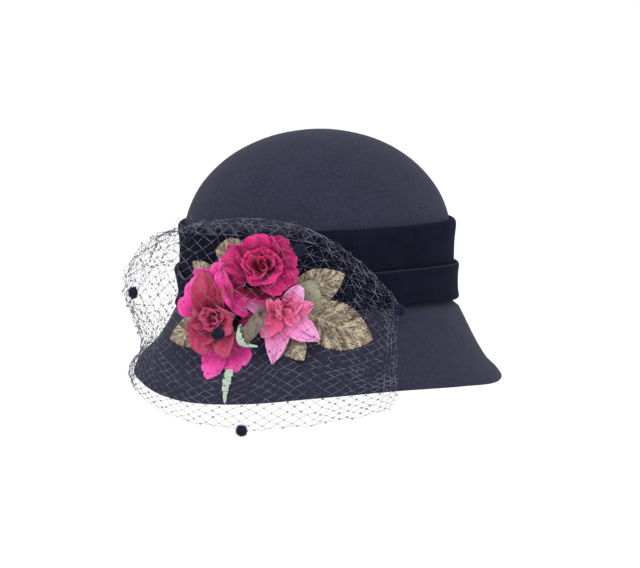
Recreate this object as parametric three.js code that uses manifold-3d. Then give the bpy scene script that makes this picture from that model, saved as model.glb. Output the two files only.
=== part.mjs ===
// A blocked wool-felt cloche hat with a folded velvet band, a spray of cloth flowers and leaves, and a net veil.
// Millimetres, +Z up. The wearer faces -Y, and the origin is the centre of the head opening.
// An azimuth is measured round the hat in degrees: 0 is the front and 90 is the wearer's left ear.
import * as THREE from "three";
import { mergeVertices } from "three/addons/utils/BufferGeometryUtils.js";
import Module from "manifold-3d";

const wasm = await Module();
wasm.setup();

// Driving dimensions
const headLong = 196; // head opening, front to back
const headWide = 166; // head opening, ear to ear
const feltWall = 2.5;
const crownHeight = 124; // head opening to the outside of the tip
const domeFoot = 49; // height where the straight side turns into the dome
const crownLean = 0.976; // the dome's foot as a share of the head oval
const crownSet = 0.8; // the dome leans back this far
const headSideLift = 3.5; // the brim's root rises over the ears by this much, and dips as much at front and back
const rimRound = 0.8; // bulge of the rounded felt edge
const brimRoot = 4.6; // the brim starts to flare this far above the head opening, under the band's edge
const clear = 0.4; // gap between pieces that lie on each other
const clothWall = 1.1; // petals and leaves
const roundSteps = 36; // facets round the hat
const domeSteps = 7;

// The rim round the hat: its height, and how far it stands out beyond the head oval. It dips over the wearer's left eye.
const rimRows = [
  { azimuth: -180, height: -50.5, reach: 35 },
  { azimuth: -120, height: -44, reach: 34 },
  { azimuth: -70, height: -41.5, reach: 33 },
  { azimuth: -35, height: -42.5, reach: 32.5 },
  { azimuth: -15, height: -44, reach: 33 },
  { azimuth: 0, height: -49.2, reach: 33.5 },
  { azimuth: 14, height: -51.8, reach: 34 },
  { azimuth: 32, height: -50.2, reach: 34 },
  { azimuth: 55, height: -45.5, reach: 34 },
  { azimuth: 82, height: -43, reach: 34.5 },
  { azimuth: 110, height: -45.6, reach: 35 },
  { azimuth: 138, height: -50.4, reach: 35.5 },
  { azimuth: 180, height: -50.5, reach: 35 },
];
// The brim below the head opening, as shares of the way to the rim. It bells at the front and flares at the back.
const brimRows = [
  { drop: -0.05, frontReach: 0.1, backReach: 0.1 },
  { drop: 0.15, frontReach: 0.23, backReach: 0.24 },
  { drop: 0.55, frontReach: 0.57, backReach: 0.52 },
  { drop: 0.76, frontReach: 0.87, backReach: 0.7 },
  { drop: 0.9, frontReach: 0.96, backReach: 0.9 },
  { drop: 1, frontReach: 1, backReach: 1 },
];

// Section of the velvet band: height above the head opening, and how far it stands proud of the felt.
// Each row also says how much of the side lift of the brim it follows. The lower fold laps the upper one.
const bandRows = [
  { height: 60.8, proud: 1.6, follow: 0.2 },
  { height: 60.6, proud: 3.6, follow: 0.2 },
  { height: 58.6, proud: 4.6, follow: 0.2 },
  { height: 45, proud: 2.7, follow: 0.38 },
  { height: 30, proud: 2.3, follow: 0.55 },
  { height: 30.6, proud: 4.2, follow: 0.55 },
  { height: 28.6, proud: 5.6, follow: 0.55 },
  { height: 15, proud: 4.6, follow: 0.75 },
  { height: 7.4, proud: 5.2, follow: 0.9 },
  { height: 5.4, proud: 3.8, follow: 0.9 },
  { height: 5.6, proud: clear, follow: 0.9 },
  { height: 48, proud: clear, follow: 0.3 },
  { height: 59.8, proud: clear, follow: 0.2 },
];
// The flowers' stitching pulls the lower fold in at the front.
const pinch = { azimuth: -30, spread: 26, height: 14, reach: 9, depth: 2.6 };

// Flower heads: where the base sits, which way the head faces, and the core that the petals are sewn to. The core's root
// runs back to the band or the brim.
const heads = {
  rose_upper: { azimuth: 34.6, height: 38, out: 5, faceAzimuth: 48, faceLift: 9, coreRadius: 6, coreHeight: 15, coreRoot: 8 },
  rose_lower: { azimuth: 17.8, height: 3, out: 8, faceAzimuth: 37, faceLift: 3, coreRadius: 6.5, coreHeight: 15, coreRoot: 8 },
  blossom: { azimuth: 41.6, height: 6, out: 8.5, faceAzimuth: 52, faceLift: 2, coreRadius: 3.6, coreHeight: 11, coreRoot: 8 },
};

// Petals by ring. The angle runs anticlockwise from the right as the flower is looked at. A petal leaves the core at
// start above the base, rises at the rise angle from the flower's plane and ends at the curl angle. A small cup is tight.
const petals = {
  rose_upper: [
    { angle: 100, start: 8, length: 19, width: 26, rise: 34, curl: -6, cup: 34 },
    { angle: 42, start: 7, length: 22, width: 22, rise: 26, curl: -4, cup: 30 },
    { angle: 350, start: 8, length: 20, width: 23, rise: 30, curl: -12, cup: 34 },
    { angle: 308, start: 7, length: 21, width: 22, rise: 22, curl: 4, cup: 30 },
    { angle: 264, start: 8, length: 21, width: 26, rise: 34, curl: 6, cup: 28 },
    { angle: 216, start: 7, length: 20, width: 22, rise: 28, curl: 2, cup: 28 },
    { angle: 163, start: 8, length: 23, width: 25, rise: 32, curl: -10, cup: 26 },
    { angle: 130, start: 11, length: 16, width: 19, rise: 58, curl: 14, cup: 15 },
    { angle: 55, start: 11, length: 16, width: 19, rise: 60, curl: 18, cup: 15 },
    { angle: 335, start: 11, length: 15, width: 20, rise: 58, curl: 20, cup: 15 },
    { angle: 250, start: 11, length: 16, width: 20, rise: 56, curl: 22, cup: 16 },
    { angle: 95, start: 13, length: 10, width: 11, rise: 80, curl: 58, cup: 6 },
    { angle: 335, start: 13, length: 10, width: 11, rise: 80, curl: 62, cup: 6 },
    { angle: 215, start: 13, length: 10, width: 11, rise: 80, curl: 60, cup: 6 },
  ],
  rose_lower: [
    { angle: 154, start: 7, length: 22, width: 30, rise: 24, curl: -14, cup: 40 },
    { angle: 78, start: 7, length: 37, width: 27, rise: 26, curl: -6, cup: 30 },
    { angle: 18, start: 7, length: 26, width: 24, rise: 28, curl: 0, cup: 28 },
    { angle: 298, start: 6, length: 37, width: 22, rise: 16, curl: -8, cup: 44 },
    { angle: 260, start: 6, length: 37, width: 17, rise: 14, curl: -6, cup: 40 },
    { angle: 198, start: 7, length: 18, width: 24, rise: 24, curl: -6, cup: 34 },
    { angle: 107, start: 10, length: 30, width: 27, rise: 48, curl: -14, cup: 20 },
    { angle: 266, start: 10, length: 24, width: 33, rise: 46, curl: -8, cup: 24 },
    { angle: 190, start: 10, length: 19, width: 24, rise: 54, curl: 6, cup: 20 },
    { angle: 4, start: 10, length: 17, width: 22, rise: 62, curl: 14, cup: 16 },
    { angle: 140, start: 13, length: 12, width: 14, rise: 76, curl: 44, cup: 8 },
    { angle: 20, start: 13, length: 12, width: 14, rise: 78, curl: 50, cup: 8 },
    { angle: 260, start: 13, length: 12, width: 14, rise: 76, curl: 48, cup: 8 },
  ],
  blossom: [
    { angle: 256, start: 6, length: 31, width: 17, rise: 24, curl: -12, cup: 24 },
    { angle: 328, start: 7, length: 27, width: 17, rise: 26, curl: -8, cup: 22 },
    { angle: 26, start: 7, length: 22, width: 14, rise: 32, curl: -4, cup: 16 },
    { angle: 60, start: 6, length: 24, width: 16, rise: 28, curl: -2, cup: 22 },
    { angle: 158, start: 6, length: 25, width: 13, rise: 22, curl: -4, cup: 22 },
    { angle: 214, start: 7, length: 18, width: 14, rise: 34, curl: -20, cup: 12 },
    { angle: 120, start: 9, length: 12, width: 11, rise: 66, curl: 30, cup: 7 },
    { angle: 40, start: 9, length: 12, width: 11, rise: 66, curl: 26, cup: 7 },
    { angle: 320, start: 9, length: 11, width: 11, rise: 62, curl: 24, cup: 7 },
    { angle: 240, start: 9, length: 12, width: 11, rise: 64, curl: 28, cup: 7 },
  ],
};
const shortPetal = 18; // petals up to this length are made with fewer facets

// Leaves, from stalk end to tip, each end given by azimuth, height and distance out from the head oval.
const leaves = {
  leaf_right: { base: [49, 8, 5], tip: [77, -11.5, 13.5], width: 32, arch: 5, fold: 0.1, point: 1.1 },
  leaf_right_upper: { base: [46, 18, 3.5], tip: [66, 33, 8.5], width: 25, arch: 4, fold: 0.12, point: 1 },
  leaf_sage: { base: [48.5, 8, 4.5], tip: [53.5, 30, 13.5], width: 23, arch: 3.5, fold: 0.06, point: 1.1 },
  leaf_bottom: { base: [44, -6, 8], tip: [50.5, -22, 24], width: 19, arch: 2.5, fold: 0.2, point: 0.9 },
  leaf_upper: { base: [30, 44.5, 0.5], tip: [14, 47, 5], width: 21, arch: 3, fold: 0.1, point: 1.4 },
  leaf_left: { base: [17, 21, 2.5], tip: [3, 38, 7], width: 19, arch: 3, fold: 0.12, point: 1 },
  leaf_low: { base: [13, -4, 6], tip: [-2.5, -15, 18], width: 23, arch: 4, fold: 0.2, point: 0.9 },
  sprig: { base: [25.7, -28, 21], tip: [27.4, -50.6, 35.9], width: 6.4, arch: 1.5, fold: 0.12, point: 1.5 },
};

// A rolled bud and the cut sepal at its foot: ends given as for the leaves.
const bud = { foot: [30.5, -11, 26], top: [37.5, 9.5, 25], radius: 5.2 };
const sepal = { share: 0.34, wall: 0.9, tip: 0.42 };

// Sections of the veil by azimuth: height of the gathered edge, rise of the puff above it, how far the puff stands out,
// how far it stands out at half the brim's depth, and how far it hangs below the rim.
const veilRows = [
  { azimuth: -62, top: 44, crest: -4, belly: 19, waist: 27, hem: 8 },
  { azimuth: -35, top: 52, crest: -7, belly: 38, waist: 23, hem: 9 },
  { azimuth: -10, top: 56, crest: 0, belly: 37, waist: 32, hem: 9 },
  { azimuth: 15, top: 58, crest: 11, belly: 42, waist: 41, hem: 13 },
  { azimuth: 35, top: 58, crest: 14, belly: 41, waist: 41, hem: 18 },
  { azimuth: 55, top: 53, crest: 10, belly: 35, waist: 36, hem: 18 },
  { azimuth: 75, top: 33, crest: 5, belly: 20, waist: 25, hem: 14 },
  { azimuth: 93, top: 8, crest: 2, belly: 9, waist: 20, hem: 9 },
];
// The edge behind the ear slants forward by so many degrees on its way to the hem.
const veil = { across: 22, down: 9, strand: 1.4, wall: 1, bandOut: 5.4, foldOut: 6.4, slant: 14 };

// Chenille dots on the net, each at a share of the way along the strand between two crossings, counted across and down.
const dots = [
  { name: "dot_front", from: [8, 4], to: [9, 5], share: 0 },
  { name: "dot_hem", from: [13, 9], to: [15, 9], share: 0.9 },
  { name: "dot_rose", from: [13, 5], to: [14, 6], share: 0.45 },
  { name: "dot_band", from: [16, 2], to: [17, 3], share: 0.1 },
  { name: "dot_ear", from: [21, 1], to: [22, 2], share: 0.7 },
];
const dotRadius = 4.2;
const dotFlat = 0.62;

const materials = {
  felt: new THREE.MeshStandardMaterial({ color: 0x3a3b4b, roughness: 0.95 }),
  velvet: new THREE.MeshStandardMaterial({ color: 0x171924, roughness: 0.9 }),
  rose_upper: new THREE.MeshStandardMaterial({ color: 0xb82263, roughness: 0.85 }),
  rose_lower: new THREE.MeshStandardMaterial({ color: 0xb83a68, roughness: 0.85 }),
  blossom: new THREE.MeshStandardMaterial({ color: 0xe07fb0, roughness: 0.8 }),
  gold_leaf: new THREE.MeshStandardMaterial({ color: 0x8a7752, roughness: 0.7 }),
  sage: new THREE.MeshStandardMaterial({ color: 0x8f917f, roughness: 0.6 }),
  mint: new THREE.MeshStandardMaterial({ color: 0xb9d0c0, roughness: 0.8 }),
  olive: new THREE.MeshStandardMaterial({ color: 0x827764, roughness: 0.7 }),
  net: new THREE.MeshStandardMaterial({ color: 0x35364a, roughness: 0.8 }),
};

const { lerp, clamp, smoothstep, degToRad } = THREE.MathUtils;

// Places on the hat

function ovalRadius(azimuth) {
  const wide = headWide / 2 + feltWall;
  const long = headLong / 2 + feltWall;
  return 1 / Math.hypot(Math.sin(azimuth) / wide, Math.cos(azimuth) / long);
}

function hatPoint(azimuth, reach, height) {
  return new THREE.Vector3(reach * Math.sin(azimuth), -reach * Math.cos(azimuth), height);
}

function placeOf([azimuth, height, out]) {
  const turn = degToRad(azimuth);
  return hatPoint(turn, ovalRadius(turn) + out, height);
}

function facing(azimuth, lift) {
  const turn = degToRad(azimuth);
  return hatPoint(turn, Math.cos(degToRad(lift)), Math.sin(degToRad(lift)));
}

function headLine(azimuth) {
  return -headSideLift * Math.cos(2 * azimuth);
}

// A column of a table at an azimuth, on a smooth curve through its rows. A table that spans a full turn closes on itself.
function columnAt(rows, azimuth, key) {
  const last = rows.length - 1;
  const turned = rows[last].azimuth - rows[0].azimuth === 360;
  const slope = (i) => {
    const wraps = turned && (i === 0 || i === last);
    const low = rows[wraps ? last - 1 : Math.max(i - 1, 0)];
    const high = rows[wraps ? 1 : Math.min(i + 1, last)];
    return (high[key] - low[key]) / (high.azimuth - low.azimuth + (wraps ? 360 : 0));
  };
  let k = 1;
  while (k < last && azimuth > rows[k].azimuth) k++;
  const span = rows[k].azimuth - rows[k - 1].azimuth;
  const t = (azimuth - rows[k - 1].azimuth) / span;
  const [a, b] = [rows[k - 1][key], rows[k][key]];
  const [da, db] = [slope(k - 1) * span, slope(k) * span];
  return a + t * (da + t * (3 * (b - a) - 2 * da - db + t * (2 * (a - b) + da + db)));
}

function rimAt(azimuth, key) {
  const turn = (((azimuth * 180) / Math.PI + 540) % 360) - 180;
  return columnAt(rimRows, turn, key);
}

function brimOut(azimuth, row) {
  const front = (1 + Math.cos(azimuth)) / 2;
  return rimAt(azimuth, "reach") * lerp(row.backReach, row.frontReach, front);
}

// Radius of the felt's outside at a height on the crown
function crownRadius(azimuth, height) {
  const oval = ovalRadius(azimuth);
  const head = headLine(azimuth);
  const up = clamp((height - head) / (domeFoot - head), 0, 1);
  const set = crownSet * up * Math.cos(azimuth);
  const round = clamp((height - domeFoot) / (crownHeight - domeFoot), 0, 1);
  return oval * lerp(1, crownLean, up) * Math.sqrt(1 - round * round) - set;
}

// Closed meshes from rings, grids and nets

function indexedGeometry(points, faces) {
  const geometry = new THREE.BufferGeometry();
  geometry.setAttribute("position", new THREE.Float32BufferAttribute(points.flatMap((p) => p.toArray()), 3));
  geometry.setIndex(faces.flat());
  geometry.computeVertexNormals();
  return geometry;
}

// Rings of equal length, joined in order. The last ring joins the first, or else each end closes on a pole.
function loft(rings, poles) {
  const count = rings[0].length;
  const points = rings.flat();
  const faces = [];
  const join = (upper, lower) => {
    for (let a = 0; a < count; a++) {
      const b = (a + 1) % count;
      faces.push([lower + a, lower + b, upper + b], [lower + a, upper + b, upper + a]);
    }
  };
  for (let k = 0; k + 1 < rings.length; k++) join(k * count, (k + 1) * count);
  const lastRing = (rings.length - 1) * count;
  if (!poles) {
    join(lastRing, 0);
    return indexedGeometry(points, faces);
  }
  const first = points.push(poles[0]) - 1;
  const last = points.push(poles[1]) - 1;
  for (let a = 0; a < count; a++) {
    const b = (a + 1) % count;
    faces.push([first, a, b], [last, lastRing + b, lastRing + a]);
  }
  return indexedGeometry(points, faces);
}

// A thin wall about a surface, where across runs from -1 to 1 and along from 0 to 1
function slab(surface, acrossSteps, alongSteps, wall) {
  const nudge = 1e-3;
  const sideA = [];
  const sideB = [];
  for (const along of alongSteps) {
    for (const across of acrossSteps) {
      const here = surface(across, along);
      const u = surface(across + nudge, along).sub(surface(across - nudge, along));
      const v = surface(across, along + nudge).sub(surface(across, along - nudge));
      const normal = u.cross(v).setLength(wall / 2);
      sideA.push(here.clone().add(normal));
      sideB.push(here.clone().sub(normal));
    }
  }
  const wide = acrossSteps.length;
  const long = alongSteps.length;
  const other = sideA.length;
  const at = (i, j) => j * wide + i;
  const faces = [];
  for (let j = 0; j + 1 < long; j++) {
    for (let i = 0; i + 1 < wide; i++) {
      const [a, b, c, d] = [at(i, j), at(i + 1, j), at(i + 1, j + 1), at(i, j + 1)];
      faces.push([a, b, c], [a, c, d], [other + a, other + c, other + b], [other + a, other + d, other + c]);
    }
  }
  const edge = [];
  for (let i = 0; i < wide - 1; i++) edge.push(at(i, 0));
  for (let j = 0; j < long - 1; j++) edge.push(at(wide - 1, j));
  for (let i = wide - 1; i > 0; i--) edge.push(at(i, long - 1));
  for (let j = long - 1; j > 0; j--) edge.push(at(0, j));
  edge.forEach((a, k) => {
    const b = edge[(k + 1) % edge.length];
    faces.push([a, other + a, other + b], [a, other + b, b]);
  });
  return indexedGeometry([...sideA, ...sideB], faces);
}

// Flat strands between knots. A knot has a place, a normal and the knots that it is tied to.
function netGeometry(knots, strand, wall) {
  const points = [];
  const faces = [];
  for (const knot of knots) {
    const right = knots[knot.ties[0]].place.clone().sub(knot.place).projectOnPlane(knot.normal).normalize();
    const up = knot.normal.clone().cross(right);
    const heading = (tie) => {
      const way = knots[tie].place.clone().sub(knot.place);
      return Math.atan2(way.dot(up), way.dot(right));
    };
    knot.ties.sort((a, b) => heading(a) - heading(b));
    knot.corners = knot.ties.map((tie, k) => {
      const from = heading(tie);
      const next = heading(knot.ties[(k + 1) % knot.ties.length]);
      const between = next > from ? next - from : next - from + 2 * Math.PI;
      const reach = strand / 2 / Math.max(Math.sin(between / 2), 0.3);
      const way = from + between / 2;
      const corner = knot.place.clone();
      corner.addScaledVector(right, reach * Math.cos(way)).addScaledVector(up, reach * Math.sin(way));
      const front = points.push(corner.clone().addScaledVector(knot.normal, wall / 2)) - 1;
      const back = points.push(corner.clone().addScaledVector(knot.normal, -wall / 2)) - 1;
      return { front, back };
    });
    for (let k = 1; k + 1 < knot.corners.length; k++) {
      const [a, b, c] = [knot.corners[0], knot.corners[k], knot.corners[k + 1]];
      faces.push([a.front, b.front, c.front], [a.back, c.back, b.back]);
    }
  }
  const besides = (knot, tie) => {
    const k = knot.ties.indexOf(tie);
    return { left: knot.corners[k], right: knot.corners[(k + knot.corners.length - 1) % knot.corners.length] };
  };
  knots.forEach((knot, n) => {
    for (const tie of knot.ties.filter((other) => other > n)) {
      const near = besides(knot, tie);
      const far = besides(knots[tie], n);
      const [a, b, c, d] = [near.left, near.right, far.left, far.right];
      faces.push([a.front, b.front, c.front], [a.front, c.front, d.front]);
      faces.push([a.back, c.back, b.back], [a.back, d.back, c.back]);
      faces.push([b.front, b.back, c.back], [b.front, c.back, c.front]);
      faces.push([d.front, d.back, a.back], [d.front, a.back, a.front]);
    }
  });
  return indexedGeometry(points, faces);
}

// Joining and cutting

function solidOf(geometry) {
  const bare = new THREE.BufferGeometry().setAttribute("position", geometry.getAttribute("position").clone());
  bare.setIndex(geometry.index);
  const merged = mergeVertices(bare, 1e-4);
  return new wasm.Manifold(
    new wasm.Mesh({
      numProp: 3,
      vertProperties: merged.getAttribute("position").array,
      triVerts: new Uint32Array(merged.index.array),
    }),
  );
}

function geometryOf(solid) {
  const mesh = solid.getMesh();
  const geometry = new THREE.BufferGeometry();
  geometry.setAttribute("position", new THREE.BufferAttribute(new Float32Array(mesh.vertProperties), 3));
  geometry.setIndex(new THREE.BufferAttribute(new Uint32Array(mesh.triVerts), 1));
  geometry.computeVertexNormals();
  return geometry;
}

const fuse = (solids) => solids.reduce((all, one) => all.add(one));
const cut = (solid, cutters) => cutters.reduce((rest, cutter) => rest.subtract(cutter), solid);
const largest = (solid) => solid.decompose().reduce((a, b) => (b.volume() > a.volume() ? b : a));

// Felt body

function feltProfile(azimuth) {
  const oval = ovalRadius(azimuth);
  const head = headLine(azimuth);
  const profile = [];
  for (let step = 1; step <= domeSteps; step++) {
    const turn = ((Math.PI / 2) * step) / domeSteps;
    const height = lerp(domeFoot, crownHeight, Math.cos(turn));
    profile.push(new THREE.Vector2(crownRadius(azimuth, height), height));
  }
  profile.push(new THREE.Vector2(crownRadius(azimuth, head + brimRoot), head + brimRoot));
  for (const row of brimRows) {
    profile.push(new THREE.Vector2(oval + brimOut(azimuth, row), lerp(head, rimAt(azimuth, "height"), row.drop)));
  }
  return profile;
}

// The profile moved along its outward normal, inwards for a negative distance
function offsetProfile(profile, distance) {
  const tip = new THREE.Vector2(0, crownHeight);
  return profile.map((point, k) => {
    const before = profile[k - 1] ?? tip;
    const after = profile[k + 1] ?? point;
    const way = after.clone().sub(before).normalize();
    return new THREE.Vector2(point.x - way.y * distance, point.y + way.x * distance);
  });
}

function ringsOf(profileAt) {
  const profiles = [];
  for (let a = 0; a < roundSteps; a++) {
    const azimuth = (2 * Math.PI * a) / roundSteps;
    profiles.push(profileAt(azimuth).map((point) => hatPoint(azimuth, point.x, point.y)));
  }
  return profiles[0].map((_, k) => profiles.map((profile) => profile[k]));
}

function feltGeometry() {
  const rings = ringsOf((azimuth) => {
    const outside = feltProfile(azimuth);
    const inside = offsetProfile(outside, -feltWall);
    const rim = outside.at(-1).clone().lerp(inside.at(-1), 0.5);
    const along = outside.at(-1).clone().sub(outside.at(-2)).setLength(rimRound);
    return [...outside, rim.add(along), ...inside.reverse()];
  });
  const tips = [crownHeight, crownHeight - feltWall].map((height) => new THREE.Vector3(0, crownSet, height));
  return loft(rings, tips);
}

// Velvet band

function pinchAt(azimuth, height) {
  const aside = (((azimuth * 180) / Math.PI - pinch.azimuth + 540) % 360) - 180;
  const away = Math.hypot(aside / pinch.spread, (height - pinch.height) / pinch.reach);
  return pinch.depth * Math.exp(-away * away);
}

function bandGeometry() {
  const rings = ringsOf((azimuth) =>
    bandRows.map((row) => {
      const height = row.height + row.follow * headLine(azimuth);
      const proud = row.proud > clear ? row.proud - pinchAt(azimuth, row.height) : row.proud;
      return new THREE.Vector2(crownRadius(azimuth, height) + proud, height);
    }),
  );
  return loft(rings);
}

// The room that the felt and the band take up, with the clearance that what is sewn to them keeps
function hatRoom() {
  const outside = (azimuth) => {
    const crown = feltProfile(azimuth).slice(0, domeSteps - 3);
    const band = bandRows.slice(1, 10).map((row) => {
      const height = row.height + row.follow * headLine(azimuth);
      return new THREE.Vector2(crownRadius(azimuth, height) + row.proud + clear, height);
    });
    const brim = offsetProfile(feltProfile(azimuth), clear).slice(-brimRows.length);
    return [...crown, ...band, ...brim];
  };
  const poles = [new THREE.Vector3(0, crownSet, crownHeight), new THREE.Vector3(0, 0, rimRows[0].height)];
  return solidOf(loft(ringsOf(outside), poles));
}

// Petals and flower heads

// Outlines as shares of the full breadth, along a petal from the core to its end
function roundPetal(along) {
  if (along < 0.6) return lerp(0.3, 1, Math.sin((along / 0.6) * (Math.PI / 2)));
  return Math.sqrt(Math.max(1 - ((along - 0.6) / 0.44) ** 2, 0.16));
}

function pointedPetal(along) {
  const share = Math.min(along * 0.93 + 0.07, 1) ** 0.75;
  return Math.max(Math.sin(Math.PI * share), 0.1) ** 0.85;
}

function petalSurface(row, rootRadius, outline, spare) {
  const rise = degToRad(row.rise);
  const bend = degToRad(row.curl) - rise;
  const turn = degToRad(row.angle);
  return (across, along) => {
    const pitch = rise + bend * along;
    const run = rootRadius + (row.length * (Math.sin(pitch) - Math.sin(rise))) / bend;
    const climb = row.start + (row.length * (Math.cos(rise) - Math.cos(pitch))) / bend;
    const aside = across * ((row.width * outline(clamp(along, 0, 1))) / 2 + spare);
    const lift = (aside * aside) / (2 * row.cup);
    const away = run - lift * Math.sin(pitch);
    const height = climb + lift * Math.cos(pitch);
    return new THREE.Vector3(
      away * Math.cos(turn) - aside * Math.sin(turn),
      away * Math.sin(turn) + aside * Math.cos(turn),
      height,
    );
  };
}

// Looked at from outside, a flower's own X is to the right, Y up and Z towards the eye.
function headFrame(head) {
  const towards = facing(head.faceAzimuth, head.faceLift);
  const right = new THREE.Vector3(0, 0, 1).cross(towards).normalize();
  const frame = new THREE.Matrix4().makeBasis(right, towards.clone().cross(right), towards);
  return frame.setPosition(placeOf([head.azimuth, head.height, head.out]));
}

function flowerSolid(name, outline, spare) {
  const head = heads[name];
  const core = new THREE.LatheGeometry(
    [
      new THREE.Vector2(0, -head.coreRoot),
      new THREE.Vector2(head.coreRadius * 0.7 + spare, -head.coreRoot),
      new THREE.Vector2(head.coreRadius + spare, head.coreHeight * 0.6),
      new THREE.Vector2(head.coreRadius * 0.5 + spare, head.coreHeight),
      new THREE.Vector2(0, head.coreHeight + spare),
    ],
    8,
  ).rotateX(Math.PI / 2);
  const pieces = petals[name].map((row) => {
    const isShort = row.length < shortPetal;
    const acrossSteps = isShort ? [-1, 0, 1] : [-1, -0.4, 0.4, 1];
    const alongSteps = isShort ? [0, 0.55, 1] : [0, 0.4, 0.75, 1];
    const ends = alongSteps.map((along) => along + ((2 * along - 1) * spare) / row.length);
    return slab(petalSurface(row, 0.6 * head.coreRadius, outline, spare), acrossSteps, ends, clothWall + 2 * spare);
  });
  const frame = headFrame(head);
  return fuse([core, ...pieces].map((geometry) => solidOf(geometry.applyMatrix4(frame))));
}

// Leaves and buds

function leafSurface(row, spare) {
  const base = placeOf(row.base);
  const tip = placeOf(row.tip);
  const way = tip.clone().sub(base);
  const middle = base.clone().lerp(tip, 0.5);
  const outwards = new THREE.Vector3(middle.x, middle.y, 0).projectOnPlane(way.clone().normalize()).normalize();
  const side = way.clone().normalize().cross(outwards);
  return (across, along) => {
    const share = clamp(along, 0, 1) ** (0.78 * row.point);
    const breadth = Math.max(Math.sin(Math.PI * share), 0.04) ** 0.75;
    const aside = across * ((row.width * breadth) / 2 + spare);
    const lift = row.arch * Math.sin(Math.PI * along) - row.fold * Math.abs(aside);
    return base.clone().addScaledVector(way, along).addScaledVector(side, aside).addScaledVector(outwards, lift);
  };
}

function leafSolid(row, spare) {
  const acrossSteps = [-1, 0, 1];
  const long = placeOf(row.tip).distanceTo(placeOf(row.base));
  const alongSteps = [0, 0.14, 0.36, 0.6, 0.83, 1];
  const ends = alongSteps.map((along) => along + ((2 * along - 1) * spare) / long);
  return solidOf(slab(leafSurface(row, spare), acrossSteps, ends, clothWall + 2 * spare));
}

// A turned piece along the bud's line, from rows of shares of its length and radius
function turnedOnBud(rows, spare) {
  const foot = placeOf(bud.foot);
  const way = placeOf(bud.top).sub(foot);
  const profile = rows.map(([share, radius]) => new THREE.Vector2(radius ? radius + spare : 0, share * way.length()));
  const turn = new THREE.Quaternion().setFromUnitVectors(new THREE.Vector3(0, 1, 0), way.clone().normalize());
  const frame = new THREE.Matrix4().makeRotationFromQuaternion(turn).setPosition(foot);
  return solidOf(new THREE.LatheGeometry(profile, 10).applyMatrix4(frame));
}

function budSolid(spare) {
  const { radius } = bud;
  return turnedOnBud([[0, 0], [0, radius * 0.45], [0.15, radius * 0.8], [0.45, radius], [0.8, radius * 0.85], [1, radius * 0.4], [1, 0]], spare);
}

function sepalSolid(spare) {
  const shell = bud.radius + clear + sepal.wall;
  const cup = turnedOnBud([[-0.12, 0], [-0.12, shell * 0.4], [0.1, shell * 0.86], [sepal.share, shell], [sepal.share, 0]], spare);
  return cut(cup, [budSolid(clear)]);
}

// Veil

function veilSection(azimuth) {
  const [top, crest, belly, waist, hem] = ["top", "crest", "belly", "waist", "hem"].map((key) => columnAt(veilRows, azimuth, key));
  const turn = degToRad(azimuth);
  const head = headLine(turn);
  const rim = rimAt(turn, "height");
  const reach = rimAt(turn, "reach");
  const start = lerp(veil.foldOut, veil.bandOut, smoothstep(top, 28, 40));
  const rows = [
    { out: start, height: top },
    { out: lerp(start, belly, 0.38), height: top + crest },
    { out: lerp(start, belly, 0.84), height: top * 0.62 },
    { out: belly, height: top * 0.25 },
    { out: waist, height: lerp(head, rim, 0.5) },
    { out: reach + 3.6, height: rim },
    { out: reach + 1, height: rim - hem },
  ];
  return new THREE.CatmullRomCurve3(rows.map((row) => hatPoint(turn, ovalRadius(turn) + row.out, row.height)));
}

function veilKnots() {
  const first = veilRows[0].azimuth;
  const span = veilRows.at(-1).azimuth - first;
  const surface = (i, j) => {
    const down = j / veil.down;
    return veilSection(first + ((span - veil.slant * down) * i) / veil.across).getPointAt(down);
  };
  const knots = [];
  const numberOf = new Map();
  const isKnot = (i, j) => (i + j) % 2 === 0 && i >= 0 && j >= 0 && i <= veil.across && j <= veil.down;
  for (let j = 0; j <= veil.down; j++) {
    for (let i = 0; i <= veil.across; i++) {
      if (!isKnot(i, j)) continue;
      const low = Math.max(j - 0.2, 0);
      const high = Math.min(j + 0.2, veil.down);
      const along = surface(i + 0.2, j).sub(surface(i - 0.2, j));
      const down = surface(i, high).sub(surface(i, low));
      numberOf.set(`${i},${j}`, knots.length);
      knots.push({ i, j, place: surface(i, j), normal: down.cross(along).normalize() });
    }
  }
  for (const knot of knots) {
    const { i, j } = knot;
    const steps = [[1, 1], [1, -1], [-1, 1], [-1, -1]];
    if (j === 0 || j === veil.down) steps.push([2, 0], [-2, 0]);
    if (i === 0 || i === veil.across) steps.push([0, 2], [0, -2]);
    knot.ties = steps.filter(([a, b]) => isKnot(i + a, j + b)).map(([a, b]) => numberOf.get(`${i + a},${j + b}`));
  }
  return knots;
}

function dotGeometry(knots, dot) {
  const [from, to] = [dot.from, dot.to].map(([i, j]) => knots.find((knot) => knot.i === i && knot.j === j));
  const normal = from.normal.clone().lerp(to.normal, dot.share).normalize();
  const lifted = from.place.clone().lerp(to.place, dot.share);
  lifted.addScaledVector(normal, veil.wall / 2 + clear + dotRadius * dotFlat);
  const turn = new THREE.Quaternion().setFromUnitVectors(new THREE.Vector3(0, 0, 1), normal);
  const frame = new THREE.Matrix4().makeRotationFromQuaternion(turn).setPosition(lifted);
  return new THREE.IcosahedronGeometry(dotRadius, 1).scale(1, 1, dotFlat).applyMatrix4(frame);
}

// Assembly

const cloche = new THREE.Group();

function addPiece(name, geometry, material) {
  const mesh = new THREE.Mesh(geometry, material);
  mesh.name = name;
  cloche.add(mesh);
}

addPiece("felt_body", feltGeometry(), materials.felt);
addPiece("velvet_band", bandGeometry(), materials.velvet);

// Each piece of the spray is trimmed where it would run into the hat or into a piece made before it.
const taken = [hatRoom()];

function addSprayPiece(name, make, material) {
  addPiece(name, geometryOf(largest(cut(make(0), taken))), material);
  taken.push(make(clear));
}

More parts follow.
